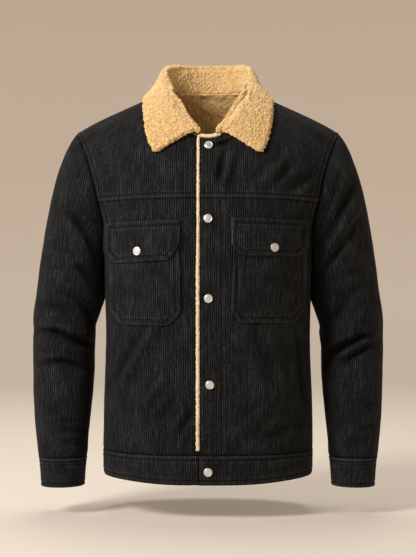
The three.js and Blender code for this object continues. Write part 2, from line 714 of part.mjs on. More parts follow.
// Folds show on the front as in their table. The back has similar ones a little higher.
function pushedByFolds(rings, folds) {
  const normals = ringNormals(rings);
  return rings.map((ring, r) =>
    ring.map((point, i) => {
      if (r === 0 || r === rings.length - 1) return point;
      const normal = normals[r][i];
      const ahead = foldAt(folds, point.x, point.z) * ease(-0.25, 0.5, -normal.y);
      const behind = 0.8 * foldAt(folds, point.x, point.z - BACK_FOLD_RISE) * ease(-0.25, 0.5, normal.y);
      return moved(point, normal, ahead + behind);
    }),
  );
}

// Normals of a tube's rings, pointing away from its middle line
function ringNormals(rings) {
  const normals = gridNormals(rings, true);
  return rings.map((ring, r) => {
    const middle = middleOf(ring);
    const outward = ring.reduce((sum, point, i) => sum + normals[r][i].dot(point.clone().sub(middle)), 0);
    return normals[r].map((normal) => normal.multiplyScalar(Math.sign(outward)));
  });
}

const middleOf = (points) =>
  points.reduce((sum, point) => sum.add(point), new THREE.Vector3()).divideScalar(points.length);

// A direction with its part along a flat ring's axis taken out
function inPlaneOf(ring, direction) {
  const middle = middleOf(ring);
  const quarter = Math.floor(ring.length / 4);
  const axis = ring[0].clone().sub(middle).cross(ring[quarter].clone().sub(middle)).normalize();
  return direction.clone().addScaledVector(axis, -direction.dot(axis)).normalize();
}

// Into the cloth at the armhole: between the panel's and the sleeve's own directions, never towards the panel
function seatWallDirection({ normal, into }, own) {
  const inward = normal.clone().add(own).negate();
  const towards = inward.dot(into);
  if (towards < 0) inward.addScaledVector(into, -towards);
  return inward.normalize();
}

const SLEEVES = {
  right: { side: -1, folds: SLEEVE_FOLDS_RIGHT },
  left: { side: 1, folds: SLEEVE_FOLDS_LEFT },
};
Object.entries(SLEEVES).forEach(([hand, { side, folds }]) => {
  addPiece(`sleeve_${hand}`, sleeveWall(side, folds), "corduroy");
  const shares = { [FRONT]: evenShares(CUFF_SPANS), [BACK]: evenShares(CUFF_SPANS) };
  const rings = cuffTable.map(({ at }) => ringAt(tubeAt(cuffTable)(at), shares));
  const normals = ringNormals(rings);
  const inner = rings.map((ring, r) =>
    ring.map((point, i) => moved(point, inPlaneOf(ring, normals[r][i]), -BAND_WALL)),
  );
  addPiece(`cuff_${hand}`, wallBetween(mirrored(rings, side), mirrored(inner, side), true), "corduroy");
});

// The waistband, from its left end at the front, round the back, to its right end under the left one
const hemZ = (x) => mix(HEM_FRONT_Z, HEM_SIDE_Z, ease(60, 185, Math.abs(x)));
const bandRow = (heightAt) => {
  const left = panelRow(FRONT, [-BAND_END, 4, 23, 46], BAND_FRONT_SPANS, heightAt);
  const behind = torsoRow(BACK, Math.PI / 2, -Math.PI / 2, heightAt, evenShares(BAND_BACK_SPANS));
  const right = panelRow(FRONT, UNDER_COLUMNS, BAND_FRONT_SPANS, heightAt);
  const turned = right.map((p) => onSide(p, -1)).reverse();
  return { points: [...left, ...behind.slice(1, -1), ...turned], rightFrom: left.length + behind.length - 2 };
};
const bandRows = [
  { heightAt: hemZ, swell: -0.8 },
  { heightAt: (x) => mix(hemZ(x), WAIST_SEAM_Z, 0.18), swell: 0.9 },
  { heightAt: (x) => mix(hemZ(x), WAIST_SEAM_Z, 0.6), swell: 0.9 },
  { heightAt: () => WAIST_SEAM_Z - SEAM_GAP / 2, swell: 0 },
].map(({ heightAt, swell }) => ({ ...bandRow(heightAt), swell }));
const levelNormals = (grid) =>
  gridNormals(grid, false).map((row) => row.map((normal) => flattened(normal, "z")));
const bandFlat = levelNormals(bandRows.map(({ points }) => points));
const bandGrid = bandRows.map(({ points, rightFrom, swell }, r) =>
  points.map((point, c) => {
    const dip = c >= rightFrom ? underlapDip(-point.x) : 0;
    return moved(point, bandFlat[r][c], swell - dip);
  }),
);
panels.waistband = { points: bandGrid, normals: levelNormals(bandGrid) };
addPanel("waistband", panels.waistband, 1, "corduroy", BAND_WALL);

// The lining's rows, fewer than the shell's
const everyOther = (list) => list.filter((_, i) => i % 2 === 0);
const liningHeights = (face) => [
  ...everyOther(bodyRows).map((heightAt, i) => (i === 0 ? () => WAIST_SEAM_Z + 6 : heightAt)),
  ...everyOther(armholeRows),
  seamLevel,
  ...[0.56, 0.22, 0.05, 0].map((share) => (x) => mix(topZ(face)(x) - LINING_TOP_GAP, seamLevel(), share)),
];
function addLining(name, rows, face, side) {
  const panel = panelOf(rows, face, { level: ["bottom"], shoulder: true });
  const outer = { points: shifted(panel, -LINING_DEPTH), normals: panel.normals };
  addPanel(name, outer, side, "sherpa", LINING);
}
const liningBackRows = liningHeights(BACK).map((heightAt) =>
  bothHalves(panelRow(BACK, [0, 34, 62, NECK_HALF], 3, heightAt)),
);
addLining("lining_back", liningBackRows, BACK, 1);
Object.entries(FRONTS).forEach(([hand, { side }]) => {
  const edge = hand === "right" ? 50 : 26;
  const columns = edge < 40 ? [edge, 50, 66, NECK_HALF] : [edge, 66, NECK_HALF];
  const rows = liningHeights(FRONT).map((heightAt) => panelRow(FRONT, columns, 4, heightAt));
  addLining(`lining_front_${hand}`, rows, FRONT, side);
});

// What is sewn on a panel takes its place from the panel's own facets
function onFacets({ points, normals }, x, z) {
  for (let r = 0; r < points.length - 1; r += 1) {
    for (let c = 0; c < points[r].length - 1; c += 1) {
      const corners = [[r, c], [r, c + 1], [r + 1, c + 1], [r + 1, c]];
      for (const picked of [[0, 1, 2], [0, 2, 3]]) {
        const [a, b, d] = picked.map((i) => points[corners[i][0]][corners[i][1]]);
        const area = (b.x - a.x) * (d.z - a.z) - (d.x - a.x) * (b.z - a.z);
        const v = ((x - a.x) * (d.z - a.z) - (d.x - a.x) * (z - a.z)) / area;
        const w = ((b.x - a.x) * (z - a.z) - (x - a.x) * (b.z - a.z)) / area;
        const u = 1 - v - w;
        if (Math.min(u, v, w) < -1e-6 || Math.abs(area) < 1e-6) continue;
        const shares = [u, v, w];
        const point = new THREE.Vector3();
        const normal = new THREE.Vector3();
        picked.forEach((i, k) => {
          point.addScaledVector([a, b, d][k], shares[k]);
          normal.addScaledVector(normals[corners[i][0]][corners[i][1]], shares[k]);
        });
        if (point.y < 20) return { point, normal: normal.normalize() };
      }
    }
  }
  throw new Error(`nothing of the panel lies at ${x}, ${z}`);
}

// A patch is a table of level lines from its inner end to its outer end, from the bottom up
function patchWall(panel, { lines, steps, across, lift, wall }) {
  const rows = [];
  lines.slice(0, -1).forEach((line, i) => {
    const next = lines[i + 1];
    const count = steps[i];
    for (let k = 0; k < count + (i === lines.length - 2 ? 1 : 0); k += 1) {
      const part = k / count;
      const ends = ["inX", "inZ", "outX", "outZ"].map((key) => mix(line[key], next[key], part));
      rows.push({ inX: ends[0], inZ: ends[1], outX: ends[2], outZ: ends[3] });
    }
  });
  const found = rows.map(({ inX, inZ, outX, outZ }) =>
    evenShares(across).map((share) => onFacets(panel, mix(inX, outX, share), mix(inZ, outZ, share))),
  );
  const at = (extra) =>
    found.map((row) => row.map(({ point, normal }) => moved(point, normal, lift(point.z) + extra)));
  return { outer: at(wall), inner: at(0) };
}

const pocketLift = () => PATCH_LIFT;
const flapLift = (z) => mix(PATCH_LIFT, FLAP_LIFT, 1 - ease(-262, -243, z));
const PATCHES = {
  pocket_right: {
    side: -1,
    lift: pocketLift,
    wall: POCKET_WALL,
    steps: [2, 5],
    lines: [
      { inX: 66, inZ: -417, outX: 151, outZ: -417 },
      { inX: 45.5, inZ: -393, outX: 170, outZ: -392 },
      { inX: 50, inZ: -270, outX: 172, outZ: -272 },
    ],
  },
  pocket_left: {
    side: 1,
    lift: pocketLift,
    wall: POCKET_WALL,
    steps: [2, 5],
    lines: [
      { inX: 54, inZ: -412, outX: 150, outZ: -413 },
      { inX: 39.5, inZ: -391, outX: 170, outZ: -389 },
      { inX: 43, inZ: -268, outX: 170, outZ: -270 },
    ],
  },
  flap_right: {
    side: -1,
    lift: flapLift,
    wall: FLAP_WALL,
    steps: [2, 4],
    lines: [
      { inX: 66, inZ: -305, outX: 160, outZ: -311 },
      { inX: 48.5, inZ: -281, outX: 178, outZ: -291 },
      { inX: 48.5, inZ: -237, outX: 179, outZ: -241 },
    ],
  },
  flap_left: {
    side: 1,
    lift: flapLift,
    wall: FLAP_WALL,
    steps: [2, 4],
    lines: [
      { inX: 58, inZ: -298, outX: 156, outZ: -298 },
      { inX: 40, inZ: -283, outX: 174, outZ: -281 },
      { inX: 40, inZ: -233, outX: 174, outZ: -237 },
    ],
  },
};
Object.entries(PATCHES).forEach(([name, patch]) => {
  const hand = patch.side > 0 ? "left" : "right";
  const { outer, inner } = patchWall(panels[`front_${hand}`], { ...patch, across: PATCH_SPANS });
  panels[name] = { points: outer, normals: gridNormals(outer, false) };
  addPiece(name, wallBetween(mirrored(outer, patch.side), mirrored(inner, patch.side), false), "corduroy");
});

// The edging runs up the left front's edge and turns along the neck
const EDGING_X = -(FRONT_EDGE + EDGING_TURN);
const EDGING_TURN_Z = frontNeckZ(FRONT_EDGE);
const edgingPath = [
  ...evenShares(EDGING_ROWS).map((share) => {
    return { x: EDGING_X, z: mix(EDGING_FOOT, EDGING_TURN_Z, share), turn: 0 };
  }),
  ...[30, 60, 90].map((turn) => ({
    x: EDGING_X + EDGING_TURN * (1 - Math.cos(radians(turn))),
    z: EDGING_TURN_Z + EDGING_TURN * Math.sin(radians(turn)),
    turn,
  })),
  ...[-4, 3, 9].map((x) => ({ x, z: frontNeckZ(x) + EDGING_TURN, turn: 90 })),
];
const frontNormal = (x, z) => {
  const step = 0.5;
  const across = torsoAt(FRONT, x + step, z).sub(torsoAt(FRONT, x - step, z));
  return across.cross(torsoAt(FRONT, x, z + step).sub(torsoAt(FRONT, x, z - step))).normalize();
};
const edgingGrid = (height) =>
  edgingPath.map(({ x, z, turn }) =>
    EDGING_CROWN.map((crown, i) => {
      const offset = mix(-EDGING_HALF, EDGING_HALF, i / (EDGING_CROWN.length - 1));
      const atX = x + offset * Math.cos(radians(turn));
      const atZ = z - offset * Math.sin(radians(turn));
      return moved(torsoAt(FRONT, atX, atZ), frontNormal(atX, atZ), height(crown));
    }),
  );
addPiece(
  "edging",
  wallBetween(edgingGrid((crown) => EDGING_OUT * crown - 0.4), edgingGrid(() => EDGING_UNDER), false),
  "sherpa",
);

// The collar
const collarTable = COLLAR.map((row, at) => {
  const edge = torsoAt(row.face, row.edgeX, row.edgeZ);
  return { ...row, at, edgeX: edge.x, edgeY: edge.y, edgeZ: edge.z };
});
const collarColumn = (name) => smoothTable(collarTable, "at", name);
const collarCurves = Object.fromEntries(
  ["neckX", "rollX", "rollY", "rollZ", "edgeX", "edgeY", "edgeZ"].map((name) => [name, collarColumn(name)]),
);

function neckSeamAt(at) {
  const x = Math.min(NECK_HALF, collarCurves.neckX(at));
  const seam =
    at < SHOULDER_STATION
      ? new THREE.Vector3(x, backNeckY(x), backNeckZ(x))
      : torsoAt(FRONT, x, frontNeckZ(x));
  const inward = new THREE.Vector3(-seam.x, -seam.y - 10, 0).normalize();
  const rise = COLLAR_SEAT + COLLAR_FRONT_RISE * ease(6.6, 8, at);
  return moved(seam, inward, COLLAR_INSET).add(new THREE.Vector3(0, 0, rise));
}

// The torso's points that the collar has to stay clear of
const carriers = ["yoke_right", "yoke_left", "back"].flatMap((name) => {
  const side = name === "yoke_right" ? -1 : 1;
  return panels[name].points.flatMap((row, r) =>
    row.map((point, c) => ({
      point: onSide(point, side),
      normal: onSide(panels[name].normals[r][c], side),
    })),
  );
});

function keptClear(point, clearance) {
  let kept = point.clone();
  for (let pass = 0; pass < 3; pass += 1) {
    const near = carriers.reduce((best, carrier) => {
      const distance = carrier.point.distanceToSquared(kept);
      return distance < best.distance ? { carrier, distance } : best;
    }, { distance: Infinity });
    const { point: foot, normal } = near.carrier;
    const height = kept.clone().sub(foot).dot(normal);
    if (height < clearance) kept = moved(kept, normal, clearance - height);
  }
  return kept;
}

const bezier = (a, b, c, d, t) => {
  const s = 1 - t;
  return new THREE.Vector3()
    .addScaledVector(a, s * s * s)
    .addScaledVector(b, 3 * s * s * t)
    .addScaledVector(c, 3 * s * t * t)
    .addScaledVector(d, t * t * t);
};

// One line across the collar, from the neck seam up the stand, over the roll and down the leaf
function collarLine(at) {
  const neck = neckSeamAt(at);
  const roll = new THREE.Vector3(collarCurves.rollX(at), collarCurves.rollY(at), collarCurves.rollZ(at));
  const foot = new THREE.Vector3(collarCurves.edgeX(at), collarCurves.edgeY(at), collarCurves.edgeZ(at));
  const edge = keptClear(foot, COLLAR_WALL + COLLAR_CLEAR);
  const outward = new THREE.Vector3(edge.x - roll.x, edge.y - roll.y, 0).normalize();
  const stand = roll.distanceTo(neck);
  const leaf = roll.distanceTo(edge);
  const rise = neck.clone().lerp(roll, 0.6);
  const under = moved(roll, outward, -STAND_BOW * stand);
  const up = evenShares(STAND_SPANS).map((t) => bezier(neck, rise, under, roll, t));
  const down = evenShares(LEAF_SPANS)
    .slice(1)
    .map((t) => {
      const eased = Math.pow(t, 1.25);
      const over = moved(roll, outward, Math.min(ROLL_REACH, leaf * 0.36));
      return bezier(roll, over, edge.clone().lerp(roll, 0.35), edge, eased);
    })
    .map((point) => keptClear(point, COLLAR_WALL + COLLAR_CLEAR));
  return [...up, ...down];
}

const collarStops = [];
COLLAR.forEach((_, at) => {
  const steps = Math.abs(at + 0.5 - SHOULDER_STATION) < 1 ? COLLAR_STEPS + 1 : COLLAR_STEPS;
  for (let k = 0; k < (at === COLLAR.length - 1 ? 1 : steps); k += 1) collarStops.push(at + k / steps);
});
const collarHalf = collarStops.map(collarLine);
const collarGrid = [...mirrored(collarHalf.slice(1).reverse(), -1), ...collarHalf];
const collarNormals = gridNormals(collarGrid, false);
const backLine = Math.floor(collarGrid.length / 2);
const collarSign = Math.sign(collarNormals[backLine][collarGrid[0].length - 2].y);
const collarInner = collarGrid.map((line, r) =>
  line.map((point, c) => {
    const under = moved(point, collarNormals[r][c], -collarSign * COLLAR_WALL * (c === 0 ? 0.6 : 1));
    return keptClear(under, c > STAND_SPANS ? COLLAR_CLEAR : STAND_CLEAR);
  }),
);
addPiece("collar", wallBetween(collarGrid, collarInner, false), "sherpa");

// A snap's cap, as shares of its radius across and millimetres up
const SNAP_PROFILE = [
  { out: 0, up: 0 },
  { out: 0.94, up: 0 },
  { out: 1, up: 0.9 },
  { out: 0.8, up: 2.1 },
  { out: 0, up: 2.3 },
];
const snapShape = () => {
  const profile = SNAP_PROFILE.map(({ out, up }) => new THREE.Vector2(out * SNAP_RADIUS, up));
  const geometry = new THREE.LatheGeometry(profile, SNAP_SIDES).rotateX(Math.PI / 2);
  geometry.deleteAttribute("normal");
  geometry.deleteAttribute("uv");
  return mergeVertices(geometry, 1e-3);
};
const SNAPS = [
  { name: "snap_1", on: "yoke_left", side: 1, x: 1, z: -106 },
  { name: "snap_2", on: "front_left", side: 1, x: 0, z: -235 },
  { name: "snap_3", on: "front_left", side: 1, x: 0.5, z: -371 },
  { name: "snap_4", on: "front_left", side: 1, x: 3, z: -518 },
  { name: "snap_5", on: "waistband", side: 1, x: 0, z: -667 },
  { name: "snap_flap_right", on: "flap_right", side: -1, x: 121, z: -290 },
  { name: "snap_flap_left", on: "flap_left", side: 1, x: 113.5, z: -284 },
];
SNAPS.forEach(({ name, on, side, x, z }) => {
  const { point, normal } = onFacets(panels[on], x, z);
  const out = onSide(normal, side);
  const place = moved(onSide(point, side), out, SNAP_GAP);
  const turn = new THREE.Quaternion().setFromUnitVectors(new THREE.Vector3(0, 0, 1), out);
  addPiece(name, snapShape(), "metal");
  const mesh = jacket.getObjectByName(name);
  mesh.quaternion.copy(turn);
  mesh.position.copy(place);
});

export default jacket;
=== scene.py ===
"""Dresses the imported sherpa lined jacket: corduroy shell, fleece collar, edging and lining, snaps and sewing."""

import logging
import math
from dataclasses import dataclass, field
from enum import Enum
from typing import Callable, Sequence

import bmesh
import bpy
import numpy as np
from mathutils import Matrix, Vector, noise
from mathutils.bvhtree import BVHTree


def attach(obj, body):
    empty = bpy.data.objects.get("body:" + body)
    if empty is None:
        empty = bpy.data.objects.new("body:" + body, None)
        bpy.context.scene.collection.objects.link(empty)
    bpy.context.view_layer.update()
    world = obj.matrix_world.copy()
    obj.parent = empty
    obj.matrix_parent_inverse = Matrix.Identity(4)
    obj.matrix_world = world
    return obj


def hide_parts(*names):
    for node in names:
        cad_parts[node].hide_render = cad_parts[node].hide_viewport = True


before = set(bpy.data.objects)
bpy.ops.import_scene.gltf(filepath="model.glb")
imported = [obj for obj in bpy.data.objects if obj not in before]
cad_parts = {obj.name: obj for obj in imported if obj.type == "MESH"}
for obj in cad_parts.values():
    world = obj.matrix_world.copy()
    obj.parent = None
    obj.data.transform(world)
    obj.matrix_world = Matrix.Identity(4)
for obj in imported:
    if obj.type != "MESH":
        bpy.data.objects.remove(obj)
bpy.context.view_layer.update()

log = logging.getLogger("jacket")

MM = 0.001
MERGE_DISTANCE = 0.01
RIM_ANGLE = math.radians(62)

Points = np.ndarray
Field = Callable[[Points], np.ndarray]


class Face(Enum):
    """The two faces of the garment, by the sign of their Y."""

    FRONT = -1
    BACK = 1


class Origin(Enum):
    """Where a piece's wales are counted from."""

    FRONT_MIDDLE = "front"
    BACK_MIDDLE = "back"
    OUTER_LINE = "outer"


@dataclass(frozen=True)
class Level:
    """One level of the torso or a sleeve, in millimetres: half its width and depth, and its middle."""

    z: float
    half: float
    deep: float
    mid_x: float = 0.0
    mid_y: float = 0.0


TORSO_FRONT = (
    Level(-702, 187, 134),
    Level(-640, 188, 135),
    Level(-500, 184.5, 138),
    Level(-308, 187, 143),
    Level(-235, 198, 135),
    Level(-160, 228, 114),
    Level(-100, 248, 87),
    Level(-50, 290, 72),
    Level(60, 320, 50),
)
TORSO_BACK = (
    Level(-702, 187, 127),
    Level(-640, 188, 127),
    Level(-500, 184.5, 121),
    Level(-308, 187, 129),
    Level(-235, 212, 130),
    Level(-160, 239, 126),
    Level(-100, 260, 119),
    Level(-50, 290, 113),
    Level(60, 320, 92),
)
SLEEVE = (
    Level(-702, 38.7, 42, 256.7, -39),
    Level(-600, 48, 51, 259, -23),
    Level(-500, 55, 58, 258, -5),
    Level(-400, 60.5, 64, 254.5, 5),
    Level(-300, 56.5, 70, 244.5, 7),
    Level(-224, 50, 72, 238, 5),
    Level(-150, 48, 72, 223, 3),
    Level(-77, 40, 62, 197, 1),
)
ARMHOLE = ((-308, 187), (-270, 180), (-235, 184), (-200, 193), (-160, 203), (-125, 213.5), (-100, 224), (-77, 236))


def ease(start: float, end: float, value: np.ndarray) -> np.ndarray:
    """0 before the start, 1 after the end and smooth between."""
    share = np.clip((value - start) / (end - start), 0, 1)
    return share * share * (3 - 2 * share)


def armhole_x(z: np.ndarray) -> np.ndarray:
    """Where the armhole seam lies from the centre line at a height."""
    heights, seam = zip(*ARMHOLE)
    return np.interp(z, heights, seam)


class Section:
    """The rounded section of the torso or a sleeve, by height.

    Args:
        front: the levels of the front face, from the bottom up.
        back: the levels of the back face, from the bottom up.
        power: how square the section's corners are.
        side: -1 where the levels are for the other side of the body.
    """

    STEPS = 72

    def __init__(self, front: Sequence[Level], back: Sequence[Level], power: float, side: int = 1) -> None:
        self.power = power
        self.side = side
        self.tables = {Face.FRONT: self._columns(front), Face.BACK: self._columns(back)}
        self.lengths = {face: self._lengths(table) for face, table in self.tables.items()}

    def _columns(self, levels: Sequence[Level]) -> np.ndarray:
        """The levels as rows of numbers, with the middle moved to this side."""
        return np.array([(v.z, v.half, v.deep, v.mid_x * self.side, v.mid_y) for v in levels])

    def _lengths(self, table: np.ndarray) -> np.ndarray:
        """Length along each level's quarter at each step, from the middle of its face to its side."""
        turn = np.linspace(0, math.pi / 2, self.STEPS)
        x = table[:, 1:2] * np.sin(turn) ** (2 / self.power)
        y = table[:, 2:3] * np.cos(turn) ** (2 / self.power)
        steps = np.hypot(np.diff(x, axis=1), np.diff(y, axis=1))
        return np.hstack([np.zeros((len(table), 1)), np.cumsum(steps, axis=1)])

    def _at(self, points: Points) -> tuple[np.ndarray, ...]:
        """Offsets from the middle, half width and depth, and which points lie on the back."""
        z = points[:, 2]
        read = {f: [np.interp(z, t[:, 0], t[:, k]) for k in range(1, 5)] for f, t in self.tables.items()}
        front, back = read[Face.FRONT], read[Face.BACK]
        dx, dy = points[:, 0] - front[2], points[:, 1] - front[3]
        behind = dy > 0
        half, deep = (np.where(behind, back[k], front[k]) for k in (0, 1))
        return dx, dy, half, deep, behind

    def outward(self, points: Points) -> Points:
        """Level directions out of the section at points on or near it."""
        dx, dy, half, deep, _ = self._at(points)
        nx = np.sign(dx) * (np.abs(dx) / half) ** (self.power - 1) / half
        ny = np.sign(dy) * (np.abs(dy) / deep) ** (self.power - 1) / deep
        size = np.maximum(np.hypot(nx, ny), 1e-9)
        return np.stack([nx / size, ny / size, np.zeros_like(nx)], axis=1)

    def _quarter(self, face: Face, z: np.ndarray, turn: np.ndarray) -> np.ndarray:
        """Length round a face from its middle to a turn, at a height."""
        table, lengths = self.tables[face], self.lengths[face]
        row = np.interp(z, table[:, 0], np.arange(len(table)))
        low = np.clip(row.astype(int), 0, len(table) - 2)
        column = turn / (math.pi / 2) * (self.STEPS - 1)
        left = np.clip(column.astype(int), 0, self.STEPS - 2)
        up, across = row - low, column - left
        lower = lengths[low, left] * (1 - across) + lengths[low, left + 1] * across
        upper = lengths[low + 1, left] * (1 - across) + lengths[low + 1, left + 1] * across
        return lower * (1 - up) + upper * up

    def around(self, points: Points, origin: Origin) -> tuple[np.ndarray, np.ndarray]:
        """Length round the section from its origin, and the whole length round it, at each point."""
        dx, dy, half, deep, behind = self._at(points)
        z = points[:, 2]
        turn = np.arctan2((np.abs(dx) / half) ** (self.power / 2), (np.abs(dy) / deep) ** (self.power / 2))
        side = np.full_like(turn, math.pi / 2)
        ahead, rear = (self._quarter(face, z, side) for face in Face)
        round_front = self._quarter(Face.FRONT, z, turn)
        round_back = ahead + rear - self._quarter(Face.BACK, z, turn)
        length = np.where(dx < 0, -1, 1) * np.where(behind, round_back, round_front)
        whole = 2 * (ahead + rear)
        start = {Origin.FRONT_MIDDLE: 0 * whole, Origin.BACK_MIDDLE: whole / 2, Origin.OUTER_LINE: self.side * ahead}
        length = length - start[origin]
        return length - whole * np.round(length / whole), whole

    def point_outside(self, share: float, z: float, reach: float = 60) -> tuple[np.ndarray, np.ndarray]:
        """A point outside the section at a share of a full turn from the front middle, and the way in."""
        angle = 2 * math.pi * share
        face = Face.FRONT if math.cos(angle) > 0 else Face.BACK
        half, deep, mid_x, mid_y = (np.interp(z, self.tables[face][:, 0], self.tables[face][:, k]) for k in range(1, 5))
        x = half * math.copysign(abs(math.sin(angle)) ** (2 / self.power), math.sin(angle))
        y = -deep * math.copysign(abs(math.cos(angle)) ** (2 / self.power), math.cos(angle))
        point = np.array([mid_x + x, mid_y + y, z])
        out = self.outward(point[None])[0]
        return point + out * reach, -out


TORSO = Section(TORSO_FRONT, TORSO_BACK, power=2.4)
SLEEVES = {side: Section(SLEEVE, SLEEVE, power=2.15, side=side) for side in (-1, 1)}


@dataclass(frozen=True)
class Crease:
    """A soft trough, or a ridge where deep is above zero, seen from the front, in millimetres and degrees."""

    x: float
    z: float
    lean: float
    long: float
    wide: float
    deep: float
    bow: float = 0.0

    LIP = 0.34

    def push(self, x: np.ndarray, z: np.ndarray) -> np.ndarray:
        """How far the crease moves the cloth outwards at points seen from the front."""
        lean = math.radians(self.lean)
        dx, dz = x - self.x, z - self.z
        along = (dx * math.cos(lean) + dz * math.sin(lean)) / self.long
        across = (dz * math.cos(lean) - dx * math.sin(lean) + self.bow * along**2) / self.wide
        fade = np.exp(-(np.abs(along) ** 3))
        lips = np.exp(-(((np.abs(across) - 1.9) / 0.8) ** 2))
        return self.deep * fade * (np.exp(-(across**2)) - self.LIP * lips)


def crease_field(creases: Sequence[Crease], face: Face, section: Section) -> Field:
    """The creases of one face, which fade out towards the other."""

    def push(points: Points) -> np.ndarray:
        facing = section.outward(points)[:, 1] * face.value
        total = sum((c.push(points[:, 0], points[:, 2]) for c in creases), np.zeros(len(points)))
        return total * ease(-0.1, 0.45, facing)

    return push


FRONT_CREASES = (
    Crease(37, -147, 74, 34, 6, 2.6),
    Crease(23, -145, 81, 28, 5, -2.2),
    Crease(111, -157, 44, 38, 9, 2.4),
    Crease(165, -168, 36, 30, 8, -2.2),
    Crease(132, -150, 46, 26, 7, -1.6),
    Crease(26, -103, 20, 20, 4, -2.6),
    Crease(-124, -479, 60, 65, 8, 2.8),
    Crease(-142, -476, 59, 60, 7, -1.8),
    Crease(-89, -528, 53, 34, 7, 2.4),
    Crease(-38, -582, 58, 26, 7, -2.6),
    Crease(-69, -559, 56, 27, 7, -1.7),
    Crease(-150, -420, -80, 30, 6, -1.4),
    Crease(-108, -610, 30, 30, 9, 1.5),
    Crease(161, -492, -84, 61, 4.5, -2.2),
    Crease(147, -494, -82, 52, 7, 1.5),
    Crease(100, -470, -70, 50, 9, -1.3),
    Crease(70, -585, 40, 46, 9, 1.6),
    Crease(120, -600, 24, 36, 8, -1.5),
    Crease(122, -655, 13, 43, 4.5, 1.6),
    Crease(-112, -330, 8, 30, 9, -1.0),
    Crease(118, -342, -12, 34, 10, -1.0),
    Crease(-172, -236, -62, 26, 6, -2.0),
    Crease(172, -250, 62, 26, 6, -2.0),
)
BACK_CREASES = (
    Crease(-118, -250, 62, 44, 9, -2.0),
    Crease(124, -246, -58, 48, 9, -2.2),
    Crease(-40, -170, 80, 36, 9, -1.6),
    Crease(52, -162, -76, 34, 9, -1.5),
    Crease(-126, -500, 62, 64, 9, 2.4),
    Crease(-98, -556, 55, 40, 8, -2.2),
    Crease(118, -470, -66, 66, 9, 2.6),
    Crease(96, -570, -52, 38, 8, -2.2),
    Crease(8, -520, 86, 70, 10, -2.0),
    Crease(-30, -600, 70, 30, 7, 1.6),
    Crease(44, -606, -74, 28, 7, -1.8),
    Crease(150, -360, 70, 46, 8, -1.8),
    Crease(-152, -372, -72, 50, 8, -1.9),
    Crease(0, -350, 5, 70, 16, -1.2),
)
RIGHT_SLEEVE_CREASES = (
    Crease(-285, -431, -4, 26, 6, -4.5),
    Crease(-238, -445, -25, 38, 6.5, -6.5),
    Crease(-272, -455, -21, 34, 7, 3.2),
    Crease(-254, -484, -7, 36, 5.5, -5.5, 8),
    Crease(-258, -505, -12, 34, 8, 2.2),
    Crease(-206, -413, -66, 30, 7, -4),
    Crease(-262, -389, -13, 28, 7, -2.8),
    Crease(-268, -404, -16, 30, 7, 2.0),
    Crease(-230, -374, -36, 30, 8, -3),
    Crease(-242, -586, -9, 20, 6, -2.6),
    Crease(-232, -603, -8, 24, 6, -2.2),
    Crease(-244, -625, -3, 22, 6, -2.3),
    Crease(-262, -566, 8, 22, 7, -1.6),
    Crease(-222, -237, -42, 36, 6.5, -4),
    Crease(-212, -262, -56, 36, 6.5, -4),
    Crease(-232, -222, -38, 30, 7, 2),
    Crease(-214, -326, -48, 26, 7, -3.6),
    Crease(-238, -320, -8, 30, 7, -2),
    Crease(-262, -282, -20, 34, 9, -1.6),
    Crease(-228, -132, -66, 40, 8, -2.4),
)
LEFT_SLEEVE_CREASES = (
    Crease(248, -452, 27, 42, 6, -6.5),
    Crease(261, -470, 32, 32, 5.5, -5),
    Crease(269, -425, -20, 24, 6, 3.2),
    Crease(248, -462, 32, 30, 5, 2.4),
    Crease(266, -494, 22, 30, 8, 2),
    Crease(218, -478, 54, 26, 6, -3.4),
    Crease(275, -556, -6, 28, 5, -2.4),
    Crease(274, -599, 19, 20, 6, -2.2),
    Crease(258, -620, -14, 16, 6, -2),
    Crease(236, -588, 10, 22, 7, -1.8),
    Crease(232, -218, 61, 56, 8, -4.6),
    Crease(214, -204, 69, 46, 7, -3.4),
    Crease(246, -236, 59, 48, 8, 2.6),
    Crease(236, -276, 56, 40, 7, -3),
    Crease(232, -392, 50, 24, 8, -3),
    Crease(236, -330, 14, 26, 8, -2.2),
    Crease(258, -356, 30, 34, 9, -1.8),
    Crease(214, -306, 44, 22, 6, -3),
)


def mirrored(creases: Sequence[Crease], rise: float, share: float) -> tuple[Crease, ...]:
    """Similar creases for a hidden face: a little higher, shallower and turned the other way."""
    return tuple(Crease(c.x, c.z + rise, -0.8 * c.lean, 1.1 * c.long, 1.1 * c.wide, share * c.deep, -c.bow) for c in creases)


BODY_DEPTH = 2.1
SLEEVE_DEPTH = 1.55


def body_push(points: Points) -> np.ndarray:
    """The body's creases, which die out at the armhole and at the hem."""
    x, z = np.abs(points[:, 0]), points[:, 2]
    front = crease_field(FRONT_CREASES, Face.FRONT, TORSO)(points)
    back = crease_field(BACK_CREASES, Face.BACK, TORSO)(points)
    seam = np.where(z > -312, armhole_x(z), 1e3)
    return BODY_DEPTH * (front + back) * (1 - ease(-30, -4, x - seam)) * ease(-690, -655, z) * (1 - ease(-70, -40, z))


PRESS = ((-400, 0), (-390, 0.6), (-378, 3.2), (-366, 4.5), (-355, 3.7), (-340, 3.1), (-330, 2.6), (-320, 1.9), (-308, 0.8), (-296, 0))


def inner_side(points: Points) -> np.ndarray:
    """How far the sleeve's surface faces the body, from -1 to 1."""
    sides = np.stack([np.sign(points[:, 0]), np.ones(len(points)), np.ones(len(points))], axis=1)
    return -SLEEVES[1].outward(points * sides)[:, 0]


def press(points: Points) -> np.ndarray:
    """The sleeve's inner side leans towards the body below the armhole."""
    heights, reach = zip(*PRESS)
    return np.interp(points[:, 2], heights, reach) * ease(0.6, 0.97, inner_side(points))


